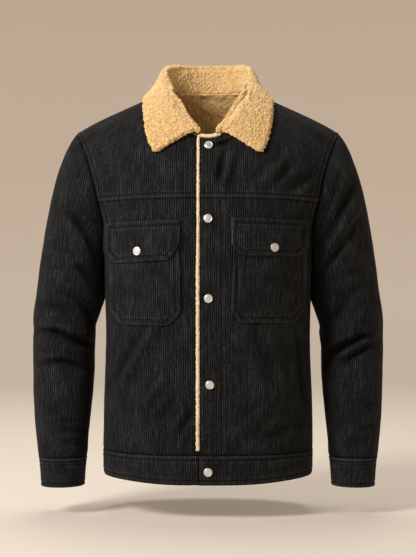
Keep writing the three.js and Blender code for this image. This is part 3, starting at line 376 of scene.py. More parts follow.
def sleeve_push(points: Points) -> np.ndarray:
    """The sleeves' creases, which die out at the armhole and at the cuff."""
    total = np.zeros(len(points))
    for side, creases in ((-1, RIGHT_SLEEVE_CREASES), (1, LEFT_SLEEVE_CREASES)):
        mine = np.sign(points[:, 0]) == side
        front = crease_field(creases, Face.FRONT, SLEEVES[side])(points)
        back = crease_field(mirrored(creases, 14, 0.75), Face.BACK, SLEEVES[side])(points)
        total += np.where(mine, front + back, 0)
    z = points[:, 2]
    gap = np.abs(points[:, 0]) - armhole_x(z)
    near = np.where(z > -330, ease(2, 26, gap), 1)
    return SLEEVE_DEPTH * total * near * ease(-652, -628, z) + press(points)


def soft_noise(points: Points, size: float, seed: float) -> np.ndarray:
    """Smooth noise from -1 to 1 with lumps of a size in millimetres."""
    shift = Vector((seed, 1.7 * seed, -seed))
    return np.array([noise.noise(Vector(p) / size + shift) for p in points])


@dataclass(frozen=True)
class Groove:
    """A line of topstitching: a plane that crosses the cloth, moved by a shift that depends on the other axis.

    Args:
        point: a point of the plane, in millimetres.
        normal: the plane's normal.
        inside: tells which points of the cloth the line reaches.
        axis: the axis that the shift moves, 0 or 2.
        shift: how far the line strays from its plane.
        deep: how far the thread pulls the cloth in.
        sewn: whether thread shows in it.
    """

    point: tuple[float, float, float]
    normal: tuple[float, float, float]
    inside: Field
    axis: int = 2
    shift: Field = field(default=lambda p: np.zeros(len(p)))
    deep: float = 1.1
    sewn: bool = True

    HALF = 1.2
    WIDE = 1.1
    LIP = 0.5
    LIP_AT = 3.4
    LIP_WIDE = 1.7

    def profile(self, points: Points) -> np.ndarray:
        """-1 in the line, above zero on the padded cloth beside it and 0 away from it."""
        straight = points.copy()
        straight[:, self.axis] -= self.shift(points)
        normal = np.array(self.normal) / np.linalg.norm(self.normal)
        off = np.abs((straight - np.array(self.point)) @ normal)
        lips = self.LIP * np.exp(-(((off - self.LIP_AT) / self.LIP_WIDE) ** 2))
        return np.where(self.inside(points), lips - np.exp(-((off / self.WIDE) ** 2)), 0)


class Cloth:
    """A mesh that is shaped as an array of points in millimetres.

    Args:
        node: the CAD node whose form it takes.
        levels: how often the form is subdivided.
        rim: how sharp its rims stay, from 0 to 1.
        longest: edges over this many millimetres are cut before the form is subdivided.
    """

    FACING = 0.3

    def __init__(self, node: str, levels: int, rim: float = 0.9, longest: float = 34) -> None:
        self.node = node
        self.name = f"{node}_cloth"
        self.chains: list[list[int]] = []
        self.mesh = self._subdivided(levels, rim, longest)

    def _cage(self, rim: float, longest: float) -> bmesh.types.BMesh:
        """The node's own mesh as one skin of quads, with its rims kept sharp."""
        bm = bmesh.new()
        bm.from_mesh(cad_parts[self.node].data)
        bmesh.ops.remove_doubles(bm, verts=bm.verts[:], dist=MERGE_DISTANCE * MM)
        bmesh.ops.join_triangles(
            bm, faces=bm.faces[:], angle_face_threshold=math.radians(60), angle_shape_threshold=math.pi
        )
        long = [e for e in bm.edges if e.calc_length() > longest * MM]
        bmesh.ops.subdivide_edges(bm, edges=long, cuts=1, use_grid_fill=True)
        crease = bm.edges.layers.float.new("crease_edge")
        for edge in bm.edges:
            if edge.calc_face_angle(0) > RIM_ANGLE:
                edge[crease] = rim
        return bm

    def _subdivided(self, levels: int, rim: float, longest: float) -> bpy.types.Mesh:
        """The cage, smoothed by subdivision."""
        bm = self._cage(rim, longest)
        mesh = bpy.data.meshes.new(self.node)
        bm.to_mesh(mesh)
        bm.free()
        carrier = bpy.data.objects.new("carrier", mesh)
        bpy.context.scene.collection.objects.link(carrier)
        modifier = carrier.modifiers.new("smooth", "SUBSURF")
        modifier.levels = modifier.render_levels = levels
        evaluated = carrier.evaluated_get(bpy.context.evaluated_depsgraph_get())
        smooth = bpy.data.meshes.new_from_object(evaluated)
        bpy.data.objects.remove(carrier)
        return smooth

    @property
    def points(self) -> Points:
        """The mesh's points in millimetres."""
        flat = np.empty(len(self.mesh.vertices) * 3)
        self.mesh.vertices.foreach_get("co", flat)
        return flat.reshape(-1, 3) / MM

    @points.setter
    def points(self, moved: Points) -> None:
        """Moves the mesh's points."""
        self.mesh.vertices.foreach_set("co", (moved * MM).ravel())
        self.mesh.update()

    @property
    def normals(self) -> Points:
        """The mesh's own normals."""
        flat = np.empty(len(self.mesh.vertices) * 3)
        self.mesh.vertices.foreach_get("normal", flat)
        return flat.reshape(-1, 3)

    def refine(self, chosen: Callable[[Points, Points], np.ndarray], cuts: int) -> None:
        """Cuts the faces finer where a test of their middles and normals says so."""
        bm = bmesh.new()
        bm.from_mesh(self.mesh)
        middles = np.array([f.calc_center_median() for f in bm.faces]) / MM
        keep = chosen(middles, np.array([f.normal for f in bm.faces]))
        edges = {e for f, wanted in zip(bm.faces, keep) if wanted for e in f.edges}
        bmesh.ops.subdivide_edges(bm, edges=list(edges), cuts=cuts, use_grid_fill=True)
        bm.to_mesh(self.mesh)
        bm.free()

    def cut_grooves(self, grooves: Sequence[Groove], section: Section) -> None:
        """Cuts edges for lines of topstitching into the mesh.

        Args:
            grooves: the lines.
            section: the section that tells the cloth's outer side.
        """
        bm = bmesh.new()
        bm.from_mesh(self.mesh)
        line = bm.verts.layers.int.new("line")
        for index, groove in enumerate(grooves, start=1):
            self._cut(bm, groove, section, line, index)
        bm.verts.index_update()
        sewn = [index for index, groove in enumerate(grooves, start=1) if groove.sewn]
        self.chains = [chain for index in sewn for chain in self._chains(bm, line, index)]
        bm.to_mesh(self.mesh)
        bm.free()

    def _cut(self, bm: bmesh.types.BMesh, groove: Groove, section: Section, line: object, index: int) -> None:
        """Cuts one line and marks its middle."""
        points = np.array([v.co for v in bm.verts]) / MM
        outer = np.array([f.normal for f in bm.faces])
        middles = np.array([f.calc_center_median() for f in bm.faces]) / MM
        facing = (outer * section.outward(middles)).sum(axis=1) > self.FACING
        wanted = facing & groove.inside(middles)
        shift = groove.shift(points)
        for vert, by in zip(bm.verts, shift):
            vert.co[groove.axis] -= by * MM
        faces = [f for f, w in zip(bm.faces, wanted) if w]
        normal = Vector(groove.normal).normalized()
        for offset in (-groove.HALF, groove.HALF, 0.0):
            geom = list({e for f in faces for e in f.edges} | {v for f in faces for v in f.verts}) + faces
            cut = bmesh.ops.bisect_plane(
                bm, geom=geom, dist=1e-7, plane_co=(Vector(groove.point) + normal * offset) * MM, plane_no=normal
            )
            faces = list({g for g in cut["geom"] if isinstance(g, bmesh.types.BMFace)})
        for element in cut["geom_cut"]:
            if isinstance(element, bmesh.types.BMVert):
                element[line] = index
        points = np.array([v.co for v in bm.verts]) / MM
        for vert, by in zip(bm.verts, groove.shift(points)):
            vert.co[groove.axis] += by * MM
        bm.normal_update()

    @staticmethod
    def _chains(bm: bmesh.types.BMesh, line: object, index: int) -> list[list[int]]:
        """The marked points of one line in order, as runs of points joined by edges."""
        marked = {v for v in bm.verts if v[line] == index}
        beside = {v: [e.other_vert(v) for e in v.link_edges if e.other_vert(v) in marked] for v in marked}
        runs = []
        while marked:
            start = next((v for v in marked if len(beside[v]) == 1), next(iter(marked)))
            run, here = [], start
            while here is not None:
                run.append(here.index)
                marked.discard(here)
                here = next((v for v in beside[here] if v in marked), None)
            runs.append(run)
        return [run for run in runs if len(run) > 2]

    def finish(self, material: bpy.types.Material) -> bpy.types.Object:
        """Makes the object that stands for the node."""
        self.mesh.materials.clear()
        self.mesh.materials.append(material)
        self.mesh.name = self.name
        self.mesh.shade_smooth()
        shown = bpy.data.objects.new(self.name, self.mesh)
        bpy.context.scene.collection.objects.link(shown)
        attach(shown, "root")
        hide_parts(self.node)
        log.info("%s: %d triangles", self.name, sum(len(p.vertices) - 2 for p in self.mesh.polygons))
        return shown


YOKE_SEAM_Z = -198.0
WAIST_SEAM_Z = -640.0
HEM_FRONT_Z = -690.0
HEM_SIDE_Z = -684.0
CUFF_SEAM_Z = -651.5
CUFF_HEM_Z = -702.0
PLACKET_X = 23.0
FRONT_EDGE_X = -13.0


def yoke_dip(points: Points) -> np.ndarray:
    """How far the yoke seam falls below its middle."""
    return -4.5 * (np.abs(points[:, 0]) / 190) ** 2


def hem_rise(points: Points) -> np.ndarray:
    """How far the hem rises towards the sides."""
    return (HEM_SIDE_Z - HEM_FRONT_Z) * ease(60, 185, np.abs(points[:, 0]))


def everywhere(points: Points) -> np.ndarray:
    """All points of the cloth."""
    return np.ones(len(points), bool)


def bell(value: np.ndarray, wide: float) -> np.ndarray:
    """1 at zero, falling to nothing over a width on both sides."""
    return np.exp(-((value / wide) ** 2))


def yoke_lap(points: Points) -> tuple[np.ndarray, np.ndarray]:
    """The yoke's lower edge laps over the fronts: raised with a painted highlight above the seam, sunk with painted
    shade below it.
    """
    above = points[:, 2] - YOKE_SEAM_Z - yoke_dip(points)
    relief = np.where(above > 0, 1.1 * bell(above - 3, 4), -0.7 * bell(above, 3))
    # Painted highlight on the lap's edge above the seam, painted shade below it.
    painted_light = np.where(above > 0, 0.8 * bell(above - 1.2, 1.3), -0.9 * bell(above, 2.2))
    return relief, painted_light


def band_lap(seam: float) -> Callable[[Points], tuple[np.ndarray, np.ndarray]]:
    """The seam of a band: the cloth sinks into it from above with painted shade, and the band's edge below it has a
    painted highlight.
    """

    def lap(points: Points) -> tuple[np.ndarray, np.ndarray]:
        above = points[:, 2] - seam
        relief = np.where(above > 0, -1.2 * bell(above, 3.4), 0.3 * bell(above + 3, 3))
        # Painted shade in the seam above, painted highlight on the band's edge below.
        painted_light = np.where(above > 0, -1.0 * bell(above, 3.2), 0.7 * bell(above + 1.2, 1.3))
        return relief, painted_light

    return lap


def body_lap(points: Points) -> tuple[np.ndarray, np.ndarray]:
    """The body's seams: the yoke's, the waist's, the armhole's and the front facing."""
    over, under = yoke_lap(points), band_lap(WAIST_SEAM_Z)(points)
    front = points[:, 1] < 0
    inside = armhole_x(points[:, 2]) - np.abs(points[:, 0])
    high = points[:, 2] > -300
    hole = np.where(high, 0.6 * bell(inside - 4, 4) - 0.8 * bell(inside, 1.6), 0)
    strip = 0.7 * ease(-16, -12, points[:, 0]) * (1 - ease(19, 23, points[:, 0])) * front
    relief = np.where(front, over[0], 0) + under[0] + hole + strip
    # Painted shade along the armhole seam.
    painted_light = np.where(front, over[1], 0) + under[1] + np.where(high, -0.7 * bell(inside, 2.2), 0)
    return relief, painted_light


def sleeve_lap(points: Points) -> tuple[np.ndarray, np.ndarray]:
    """The sleeve's seams: the cuff's and the armhole's."""
    relief, painted_light = band_lap(CUFF_SEAM_Z)(points)
    outside = np.abs(points[:, 0]) - armhole_x(points[:, 2])
    high = points[:, 2] > -300
    sunk = np.where(high, bell(outside, 3.0), 0)
    # Painted shade in the sunk armhole seam and on the sleeve's side that faces the body.
    return relief - 1.0 * sunk, painted_light - 0.8 * sunk - 0.6 * ease(0.45, 0.95, inner_side(points))


def tucked(points: Points) -> Points:
    """The sleeve's edge drawn under the back's, behind the arm."""
    moved = points.copy()
    gap = np.abs(points[:, 0]) - armhole_x(points[:, 2])
    near = bell(gap, 5) * ease(-322, -306, points[:, 2]) * ease(0, 20, points[:, 1])
    moved[:, 0] -= np.sign(points[:, 0]) * 3.0 * near
    return moved


def armhole_groove(side: int) -> Groove:
    """The line of topstitching beside an armhole."""
    beside = 8.0
    return Groove(
        point=(-side * beside, 0, 0),
        normal=(1, 0, 0),
        inside=lambda p: (p[:, 2] > -262) & (p[:, 0] * side > 150),
        axis=0,
        shift=lambda p: side * armhole_x(p[:, 2]),
    )


@dataclass(frozen=True)
class Patch:
    """The outline of a pocket or flap seen from the front, in millimetres, as corners in order."""

    corners: tuple[tuple[float, float], ...]
    inset: float = 8.5

    def edges(self) -> list[tuple[np.ndarray, np.ndarray]]:
        """Each edge's first corner, and the way in from it."""
        middle = np.mean(self.corners, axis=0)
        ends = list(zip(self.corners, self.corners[1:] + self.corners[:1]))
        edges = []
        for start, end in ends:
            along = np.subtract(end, start)
            inward = np.array([-along[1], along[0]]) / np.hypot(*along)
            if inward @ (middle - np.array(start)) < 0:
                inward = -inward
            edges.append((np.array(start), inward))
        return edges

    def grooves(self) -> list[Groove]:
        """A line of topstitching inside each edge."""
        edges = self.edges()

        def within(points: Points) -> np.ndarray:
            depth = [(points[:, [0, 2]] - start) @ inward for start, inward in edges]
            return np.min(depth, axis=0) > self.inset - 2.5

        return [
            Groove(
                point=(start[0] + inward[0] * self.inset, 0, start[1] + inward[1] * self.inset),
                normal=(inward[0], 0, inward[1]),
                inside=within,
            )
            for start, inward in edges
        ]

    def lap(self, points: Points) -> tuple[np.ndarray, np.ndarray]:
        """The patch's edge, turned under and padded, with a painted highlight along it."""
        depth = np.min([(points[:, [0, 2]] - start) @ inward for start, inward in self.edges()], axis=0)
        # The second value is a painted highlight along the edge.
        return 0.5 * bell(depth - 4, 3), 0.8 * bell(depth - 0.8, 1.5)


PATCHES = {
    "pocket_right": Patch(((-50, -270), (-45.5, -393), (-66, -417), (-151, -417), (-170, -392), (-172, -272))),
    "pocket_left": Patch(((43, -268), (39.5, -391), (54, -412), (150, -413), (170, -389), (170, -270))),
    "flap_right": Patch(((-48.5, -237), (-48.5, -281), (-66, -305), (-160, -311), (-178, -291), (-179, -241))),
    "flap_left": Patch(((40, -233), (40, -283), (58, -298), (156, -298), (174, -281), (174, -237))),
}


@dataclass
class CorduroyPiece:
    """A piece of the corduroy shell.

    Args:
        node: the CAD node that it stands for.
        section: the section that it lies on.
        origin: where its wales are counted from.
        push: the creases that move it.
        grooves: its lines of topstitching.
        levels: how often its form is subdivided.
        longest: the longest edge of the form before that, in millimetres.
        flat: width and length of the cut, in metres; not used.
        area: area of the cut, in square metres; not used.
        lap: relief along its seams and edges, with painted highlight on raised edges and painted shade in the seams.
        form: moves its points after the creases.
    """

    node: str
    section: Section
    origin: Origin
    push: Field
    grooves: list[Groove]
    levels: int
    longest: float
    flat: tuple[float, float]
    area: float
    lap: Callable[[Points], tuple[np.ndarray, np.ndarray]]
    form: Callable[[Points], Points] = field(default=lambda p: p)

    PUCKER = 0.35
    PUCKER_LENGTH = 11.0
    PUCKER_REACH = 9.0
    SLACK = 0.7
    SLACK_SIZE = 55.0
    CREASE_SHADE = 0.1

    def build(self, material: bpy.types.Material) -> tuple[bpy.types.Object, Cloth]:
        """Shapes, cuts and dresses the piece."""
        cloth = Cloth(self.node, self.levels, longest=self.longest)
        cloth.cut_grooves(self.grooves, self.section)
        points = cloth.points
        outward = self.section.outward(points)
        facing = ease(0.0, 0.35, (cloth.normals * outward).sum(axis=1))
        relief, painted_light = self._sewing(points)
        creased = self.push(points)
        # Painted shade: the colour is darkened in the crease troughs.
        painted_light = painted_light + self.CREASE_SHADE * np.minimum(creased, 0)
        move = creased + self._slack(points) + facing * relief + self._pucker(points)
        cloth.points = self.form(points + outward * move[:, None])
        self._lay_grain(cloth, points)
        # Painted light: this attribute lightens raised edges as painted highlight and darkens seams, grooves and
        # creases as painted shade.
        layer = cloth.mesh.attributes.new("painted_light", "FLOAT", "POINT")
        layer.data.foreach_set("value", 0.5 + 0.5 * np.clip(painted_light * facing, -1, 1))
        shown = cloth.finish(material)
        return shown, cloth

    def _sewing(self, points: Points) -> tuple[np.ndarray, np.ndarray]:
        """How far lines and laps raise each point, and its painted light: painted highlight up to 1 on raised edges,
        painted shade down to -1 in clefts.
        """
        relief, painted_light = self.lap(points)
        for groove in self.grooves:
            profile = groove.profile(points)
            relief = relief + groove.deep * profile
            # Painted shade in the stitch line and painted highlight on the padded lips beside it.
            painted_light = painted_light + np.where(profile < 0, 1.1, 0.8) * profile
        return relief, painted_light

    def _slack(self, points: Points) -> np.ndarray:
        """Slow, uneven waves of cloth that isn't ironed flat, none at the neck."""
        wave = soft_noise(points * (1, 1, 0.6), self.SLACK_SIZE, 3.1) + 0.5 * soft_noise(points, 24, 8.2)
        calm = ease(WAIST_SEAM_Z, WAIST_SEAM_Z + 30, points[:, 2]) * (1 - ease(-120, -90, points[:, 2]))
        return self.SLACK * wave * calm

    def _pucker(self, points: Points) -> np.ndarray:
        """Small puckers where the waist seam and the yoke seam gather the cloth."""
        length, _ = self.section.around(points, self.origin)
        phase = length / self.PUCKER_LENGTH + 0.8 * np.sin(length / 37.0)
        lines = (WAIST_SEAM_Z, CUFF_SEAM_Z)
        near = sum(np.exp(-(((points[:, 2] - z) / self.PUCKER_REACH) ** 2)) for z in lines)
        near = near + 0.7 * np.exp(-(((points[:, 2] - YOKE_SEAM_Z - yoke_dip(points)) / self.PUCKER_REACH) ** 2))
        return self.PUCKER * np.sin(2 * math.pi * phase) * near

    def _lay_grain(self, cloth: Cloth, points: Points) -> None:
        """Writes the UV map that the wales follow: length round the section, and height, in metres."""
        length, whole = self.section.around(points, self.origin)
        mesh = cloth.mesh
        corners = np.empty(len(mesh.loops), int)
        mesh.loops.foreach_get("vertex_index", corners)
        sizes = np.empty(len(mesh.polygons), int)
        mesh.polygons.foreach_get("loop_total", sizes)
        starts = np.concatenate([[0], np.cumsum(sizes)[:-1]])
        first = np.repeat(length[corners[starts]], sizes)
        u = length[corners]
        u += whole[corners] * np.round((first - u) / whole[corners])
        layer = mesh.uv_layers.new(name="grain")
        layer.data.foreach_set("uv", (np.stack([u, points[corners, 2]], axis=1) * MM).ravel())


def curls(points: Points, size: float) -> np.ndarray:
    """Heights of curly fleece from 0 in the clefts to 1 on the curls, with curls of a size in millimetres."""
    heights = np.empty(len(points))
    for i, p in enumerate(points):
        spot = Vector(p) / size
        warp = noise.noise_vector(spot * 0.8) * 0.55
        near = noise.voronoi(spot + warp)[0]
        lump = max(0.0, 1.0 - near[0]) ** 0.9 * min(1.0, 2.4 * (near[1] - near[0]) + 0.25)
        heights[i] = min(1.0, max(0.0, 0.85 * lump + 0.28 * noise.noise(spot * 2.7) + 0.08))
    return heights


@dataclass
class SherpaPiece:
    """A piece of curly fleece.

    Args:
        node: the CAD node that it stands for.
        slot: its material slot.
        shows: tells which faces show, from their middles and normals.
        levels: how often its form is subdivided.
        cuts: how much finer the faces that show are cut.
        longest: the longest edge of the form before that, in millimetres.
        size: size of a curl, in millimetres.
        height: height of a curl, in millimetres.
        swell: how far the whole pile stands out where it shows, in millimetres.
        flat: width and length of the cut, in metres; not used.
        area: area of the cut, in square metres; not used.
        push: the creases that move it.
        rim: how sharp its rims stay.
        hidden: share of the pile on faces that don't show.
        form: moves its points before the pile is raised.
    """

    node: str
    slot: str
    shows: Callable[[Points, Points], np.ndarray]
    levels: int
    cuts: int
    longest: float
    size: float
    height: float
    swell: float
    flat: tuple[float, float]
    area: float
    push: Field = field(default=lambda p: np.zeros(len(p)))
    rim: float = 0.3
    hidden: float = 0.25
    form: Callable[[Points], Points] = field(default=lambda p: p)

    def build(self, material: bpy.types.Material) -> bpy.types.Object:
        """Raises the pile and dresses the piece."""
        cloth = Cloth(self.node, self.levels, rim=self.rim, longest=self.longest)
        cloth.refine(self.shows, self.cuts)
        cloth.points = self.form(cloth.points)
        points, normals = cloth.points, cloth.normals
        share = np.where(self.shows(points, normals), 1.0, self.hidden)
        pile = curls(points, self.size)
        lean = np.stack([soft_noise(points, 6, 2.0), soft_noise(points, 6, 5.0), soft_noise(points, 6, 9.0)], axis=1)
        direction = normals + 0.35 * lean * share[:, None]
        move = share * (self.swell + self.height * (pile - 0.35))
        cloth.points = points + direction * move[:, None] + TORSO.outward(points) * self.push(points)[:, None]
        layer = cloth.mesh.attributes.new("pile", "FLOAT", "POINT")
        layer.data.foreach_set("value", pile)
        shown = cloth.finish(material)
        return shown


class Stitching:
    """All the topstitching as one mesh of small grains of thread.

    Args:
        cloths: the pieces whose grooves it follows.
    """

    PITCH = 3.6
    HALF_LENGTH = 1.35
    HALF_WIDTH = 0.36
    HALF_HEIGHT = 0.32
    LIFT = 0.1
    REACH = 0.8

    def __init__(self, cloths: Sequence[Cloth]) -> None:
        self.cloths = cloths

    def build(self, material: bpy.types.Material) -> bpy.types.Object:
        """Lays a stitch at every step of every line."""
        grain, faces = self._grain()
        places = []
        for cloth in self.cloths:
            points, normals = cloth.points, cloth.normals
            for chain in cloth.chains:
                places += self._sew(points[chain], normals[chain])
        stitches = np.array([middle + grain @ turn for middle, turn in places])
        joined = [tuple(corner + k * len(grain) for corner in face) for k in range(len(places)) for face in faces]
        mesh = bpy.data.meshes.new("topstitching")
        mesh.from_pydata((stitches.reshape(-1, 3) * MM).tolist(), [], joined)
        mesh.shade_smooth()
        mesh.materials.append(material)
        shown = bpy.data.objects.new("topstitching", mesh)
        bpy.context.scene.collection.objects.link(shown)
        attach(shown, "root")
        log.info("topstitching: %d triangles", sum(len(p.vertices) - 2 for p in mesh.polygons))
        return shown

    def _grain(self) -> tuple[Points, list[list[int]]]:
        """One stitch round the origin, along X: its points and its faces."""
        bm = bmesh.new()
        scale = Matrix.Diagonal((self.HALF_LENGTH, self.HALF_WIDTH, self.HALF_HEIGHT, 1))
        bmesh.ops.create_uvsphere(bm, u_segments=5, v_segments=4, radius=1, matrix=scale)
        points, faces = np.array([v.co for v in bm.verts]), [[v.index for v in f.verts] for f in bm.faces]
        bm.free()
        return points, faces

    def _sew(self, path: Points, normals: Points) -> list[tuple[np.ndarray, np.ndarray]]:
        """The middle of each stitch of one line, and its turn."""
        lengths = np.concatenate([[0], np.cumsum(np.linalg.norm(np.diff(path, axis=0), axis=1))])
        places = []
        for at in np.arange(self.PITCH / 2, lengths[-1], self.PITCH):
            here, ahead = (
                np.array([np.interp(at + reach, lengths, column) for column in path.T])
                for reach in (-self.REACH, self.REACH)
            )
            up = np.array([np.interp(at, lengths, column) for column in normals.T])
            along = (ahead - here) / max(np.linalg.norm(ahead - here), 1e-6)
            aside = np.cross(up, along)
            aside /= max(np.linalg.norm(aside), 1e-6)
            up = np.cross(along, aside)
            places.append(((here + ahead) / 2 + up * self.LIFT, np.array([along, aside, up])))
        return places


@dataclass
class Snap:
    """A snap's cap: a low dome with a rolled rim, turned from its profile.

    Args:
        node: the CAD node that it stands for.
    """

    node: str

    PROFILE = (
        (0.0, 2.2),
        (2.6, 2.17),
        (4.7, 2.08),
        (5.2, 1.95),
        (5.6, 1.5),
        (6.0, 1.92),
        (6.6, 2.05),
        (7.2, 1.8),
        (7.45, 1.3),
        (7.4, 0.6),
        (7.0, -0.25),
        (0.0, -0.25),
    )
    STEPS = 40

    def build(self, material: bpy.types.Material) -> bpy.types.Object:
        """Turns the cap and sets it where the node lies."""
        bm = bmesh.new()
        ring = [bm.verts.new((out * MM, 0, up * MM)) for out, up in self.PROFILE]
        edges = [bm.edges.new(pair) for pair in zip(ring, ring[1:])]
        bmesh.ops.spin(
            bm, geom=ring + edges, axis=(0, 0, 1), cent=(0, 0, 0), angle=2 * math.pi, steps=self.STEPS, use_merge=True
        )
        bmesh.ops.remove_doubles(bm, verts=bm.verts[:], dist=1e-6)
        bmesh.ops.recalc_face_normals(bm, faces=bm.faces[:])
        bmesh.ops.transform(bm, matrix=self._place(), verts=bm.verts[:])
        mesh = bpy.data.meshes.new(f"{self.node}_cap")
        bm.to_mesh(mesh)
        bm.free()
        mesh.shade_smooth()
        mesh.materials.append(material)
        shown = bpy.data.objects.new(f"{self.node}_cap", mesh)
        bpy.context.scene.collection.objects.link(shown)
        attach(shown, "root")
        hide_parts(self.node)
        return shown

    def _place(self) -> Matrix:
        """The place and turn of the node's own disc."""
        points = np.array([v.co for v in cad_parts[self.node].data.vertices])
        points = np.unique(points.round(6), axis=0)
        middle = points.mean(axis=0)
        _, _, axes = np.linalg.svd(points - middle)
        out = Vector(axes[2])
        out = -out if out.y > 0 else out
        foot = ((points - middle) @ np.array(out)).min()
        return Matrix.Translation(Vector(middle) + out * foot) @ out.to_track_quat("Z", "Y").to_matrix().to_4x4()


class Value:
    """A shader socket that is reckoned with like a number."""

    def __init__(self, shader: "Shader", socket: bpy.types.NodeSocket) -> None:
        self.shader = shader
        self.socket = socket

    def _with(self, operation: str, *others: "Value | float") -> "Value":
        """The outcome of one step of maths."""
        node = self.shader.node("ShaderNodeMath", {"operation": operation}, {0: self, **dict(enumerate(others, 1))})
        return Value(self.shader, node.outputs[0])

    def __add__(self, other: "Value | float") -> "Value":
        """Sum."""
        return self._with("ADD", other)

    def __sub__(self, other: "Value | float") -> "Value":
        """Difference."""
        return self._with("SUBTRACT", other)

    def __mul__(self, other: "Value | float") -> "Value":
        """Product."""
        return self._with("MULTIPLY", other)

    def __pow__(self, other: float) -> "Value":
        """Power."""
        return self._with("POWER", other)

    def __abs__(self) -> "Value":
        """Size without its sign."""
        return self._with("ABSOLUTE")

    def fraction(self) -> "Value":
        """What is left after the whole number."""
        return self._with("FRACT")


class Shader:
    """A material under way, with one method that makes all its nodes.

    Args:
        name: the material's name.
        roughness: the surface's roughness.
        metallic: 1 for metal.
        sheen: weight of the sheen.
        sheen_tint: colour of the sheen.
        specular: level of the mirror-like part.
    """

    def __init__(
        self,
        name: str,
        roughness: float,
        metallic: float = 0.0,
        sheen: float = 0.0,
        sheen_tint: tuple[float, float, float] = (1, 1, 1),
        specular: float = 0.5,
    ) -> None:
        self.material = bpy.data.materials.new(name)
        self.material.use_nodes = True
        self.tree = self.material.node_tree
        self.surface = self.tree.nodes["Principled BSDF"]
        self.surface.inputs["Roughness"].default_value = roughness
        self.surface.inputs["Metallic"].default_value = metallic
        self.surface.inputs["Specular IOR Level"].default_value = specular
        self.surface.inputs["Sheen Weight"].default_value = sheen
        self.surface.inputs["Sheen Roughness"].default_value = 0.45
        self.surface.inputs["Sheen Tint"].default_value = (*sheen_tint, 1)

    def node(self, kind: str, settings: dict[str, object], inputs: dict[int | str, object]) -> bpy.types.Node:
        """Makes a node.

        Args:
            kind: the node's type.
            settings: its own properties.
            inputs: what goes into its sockets: values, colours, sockets or Values.

        Returns:
            The node.
        """
        made = self.tree.nodes.new(kind)
        for name, value in settings.items():
            setattr(made, name, value)
        for key, value in inputs.items():
            if isinstance(value, Value):
                value = value.socket
            if isinstance(value, bpy.types.NodeSocket):
                self.tree.links.new(value, made.inputs[key])
            else:
                made.inputs[key].default_value = value
        return made

    def noise(self, place: bpy.types.NodeSocket, scale: float, detail: float = 2.0) -> Value:
        """Noise from 0 to 1 at a place."""
        made = self.node(
            "ShaderNodeTexNoise", {}, {"Vector": place, "Scale": scale, "Detail": detail, "Roughness": 0.6}
        )
        return Value(self, made.outputs["Fac"])

    def stretched(self, place: bpy.types.NodeSocket, scale: tuple[float, float, float]) -> bpy.types.NodeSocket:
        """A place scaled by its own amount along each axis."""
        return self.node("ShaderNodeMapping", {}, {"Vector": place, "Scale": scale}).outputs["Vector"]

    def ramp(self, value: Value, stops: Sequence[tuple[float, tuple[float, float, float]]]) -> None:
        """Colours the surface by a value."""
        made = self.node("ShaderNodeValToRGB", {}, {"Fac": value})
        while len(made.color_ramp.elements) < len(stops):
            made.color_ramp.elements.new(0.5)
        for element, (at, colour) in zip(made.color_ramp.elements, stops):
            element.position = at
            element.color = (*colour, 1)
        self.tree.links.new(made.outputs["Color"], self.surface.inputs["Base Color"])

    def bump(self, height: Value, distance: float, strength: float) -> None:
        """Raises the surface by a height."""
        made = self.node("ShaderNodeBump", {}, {"Height": height, "Distance": distance, "Strength": strength})
        self.tree.links.new(made.outputs["Normal"], self.surface.inputs["Normal"])


@dataclass(frozen=True)
class Corduroy:
    """Wide wale corduroy: rounded wales with painted shade between them, and a brushed nap."""

    wale: float = 3.8
    # Painted shade: the colour in the grooves between wales.
    groove: tuple[float, float, float] = (0.0008, 0.0008, 0.0008)
    middle: tuple[float, float, float] = (0.0092, 0.0101, 0.0106)
    ridge: tuple[float, float, float] = (0.049, 0.0525, 0.0555)

    def material(self) -> bpy.types.Material:
        """The finish as a material."""
        shader = Shader("corduroy", roughness=0.8, sheen=0.03, sheen_tint=(0.5, 0.5, 0.5), specular=0.12)
        grain = shader.node("ShaderNodeUVMap", {"uv_map": "grain"}, {}).outputs["UV"]
        painted_light = Value(shader, shader.node("ShaderNodeAttribute", {"attribute_name": "painted_light"}, {}).outputs["Fac"])
        across = Value(shader, shader.node("ShaderNodeSeparateXYZ", {}, {0: grain}).outputs["X"])
        wander = shader.noise(shader.stretched(grain, (1, 0.2, 1)), 110) - 0.5
        turn = (across * (1 / (self.wale * MM)) + wander * 0.5).fraction()
        wale = abs(turn * 2.0 - 1.0) ** 2.0 * -1.0 + 1.0
        nap = shader.noise(shader.stretched(grain, (1, 0.3, 1)), 560, 3)
        streak = shader.noise(shader.stretched(grain, (1, 0.12, 1)), 260, 2)
        brushed = shader.noise(shader.stretched(grain, (1, 0.6, 1)), 34, 3)
        tone = wale * 0.55 + (nap - 0.5) * 0.95 + (streak - 0.5) * 0.9 + (brushed - 0.5) * 0.55
        # Painted highlight and painted shade from the seams, grooves and creases go into the colour here.
        tone = tone + (painted_light - 0.5) * 0.75 + 0.05
        # The ramp's darkest stop, reached in the grooves between wales, is painted shade.
        shader.ramp(tone, ((0.0, self.groove), (0.5, self.middle), (1.0, self.ridge)))
        shader.bump(wale + nap * 0.3, 1.0 * MM, 1.0)
        return shader.material


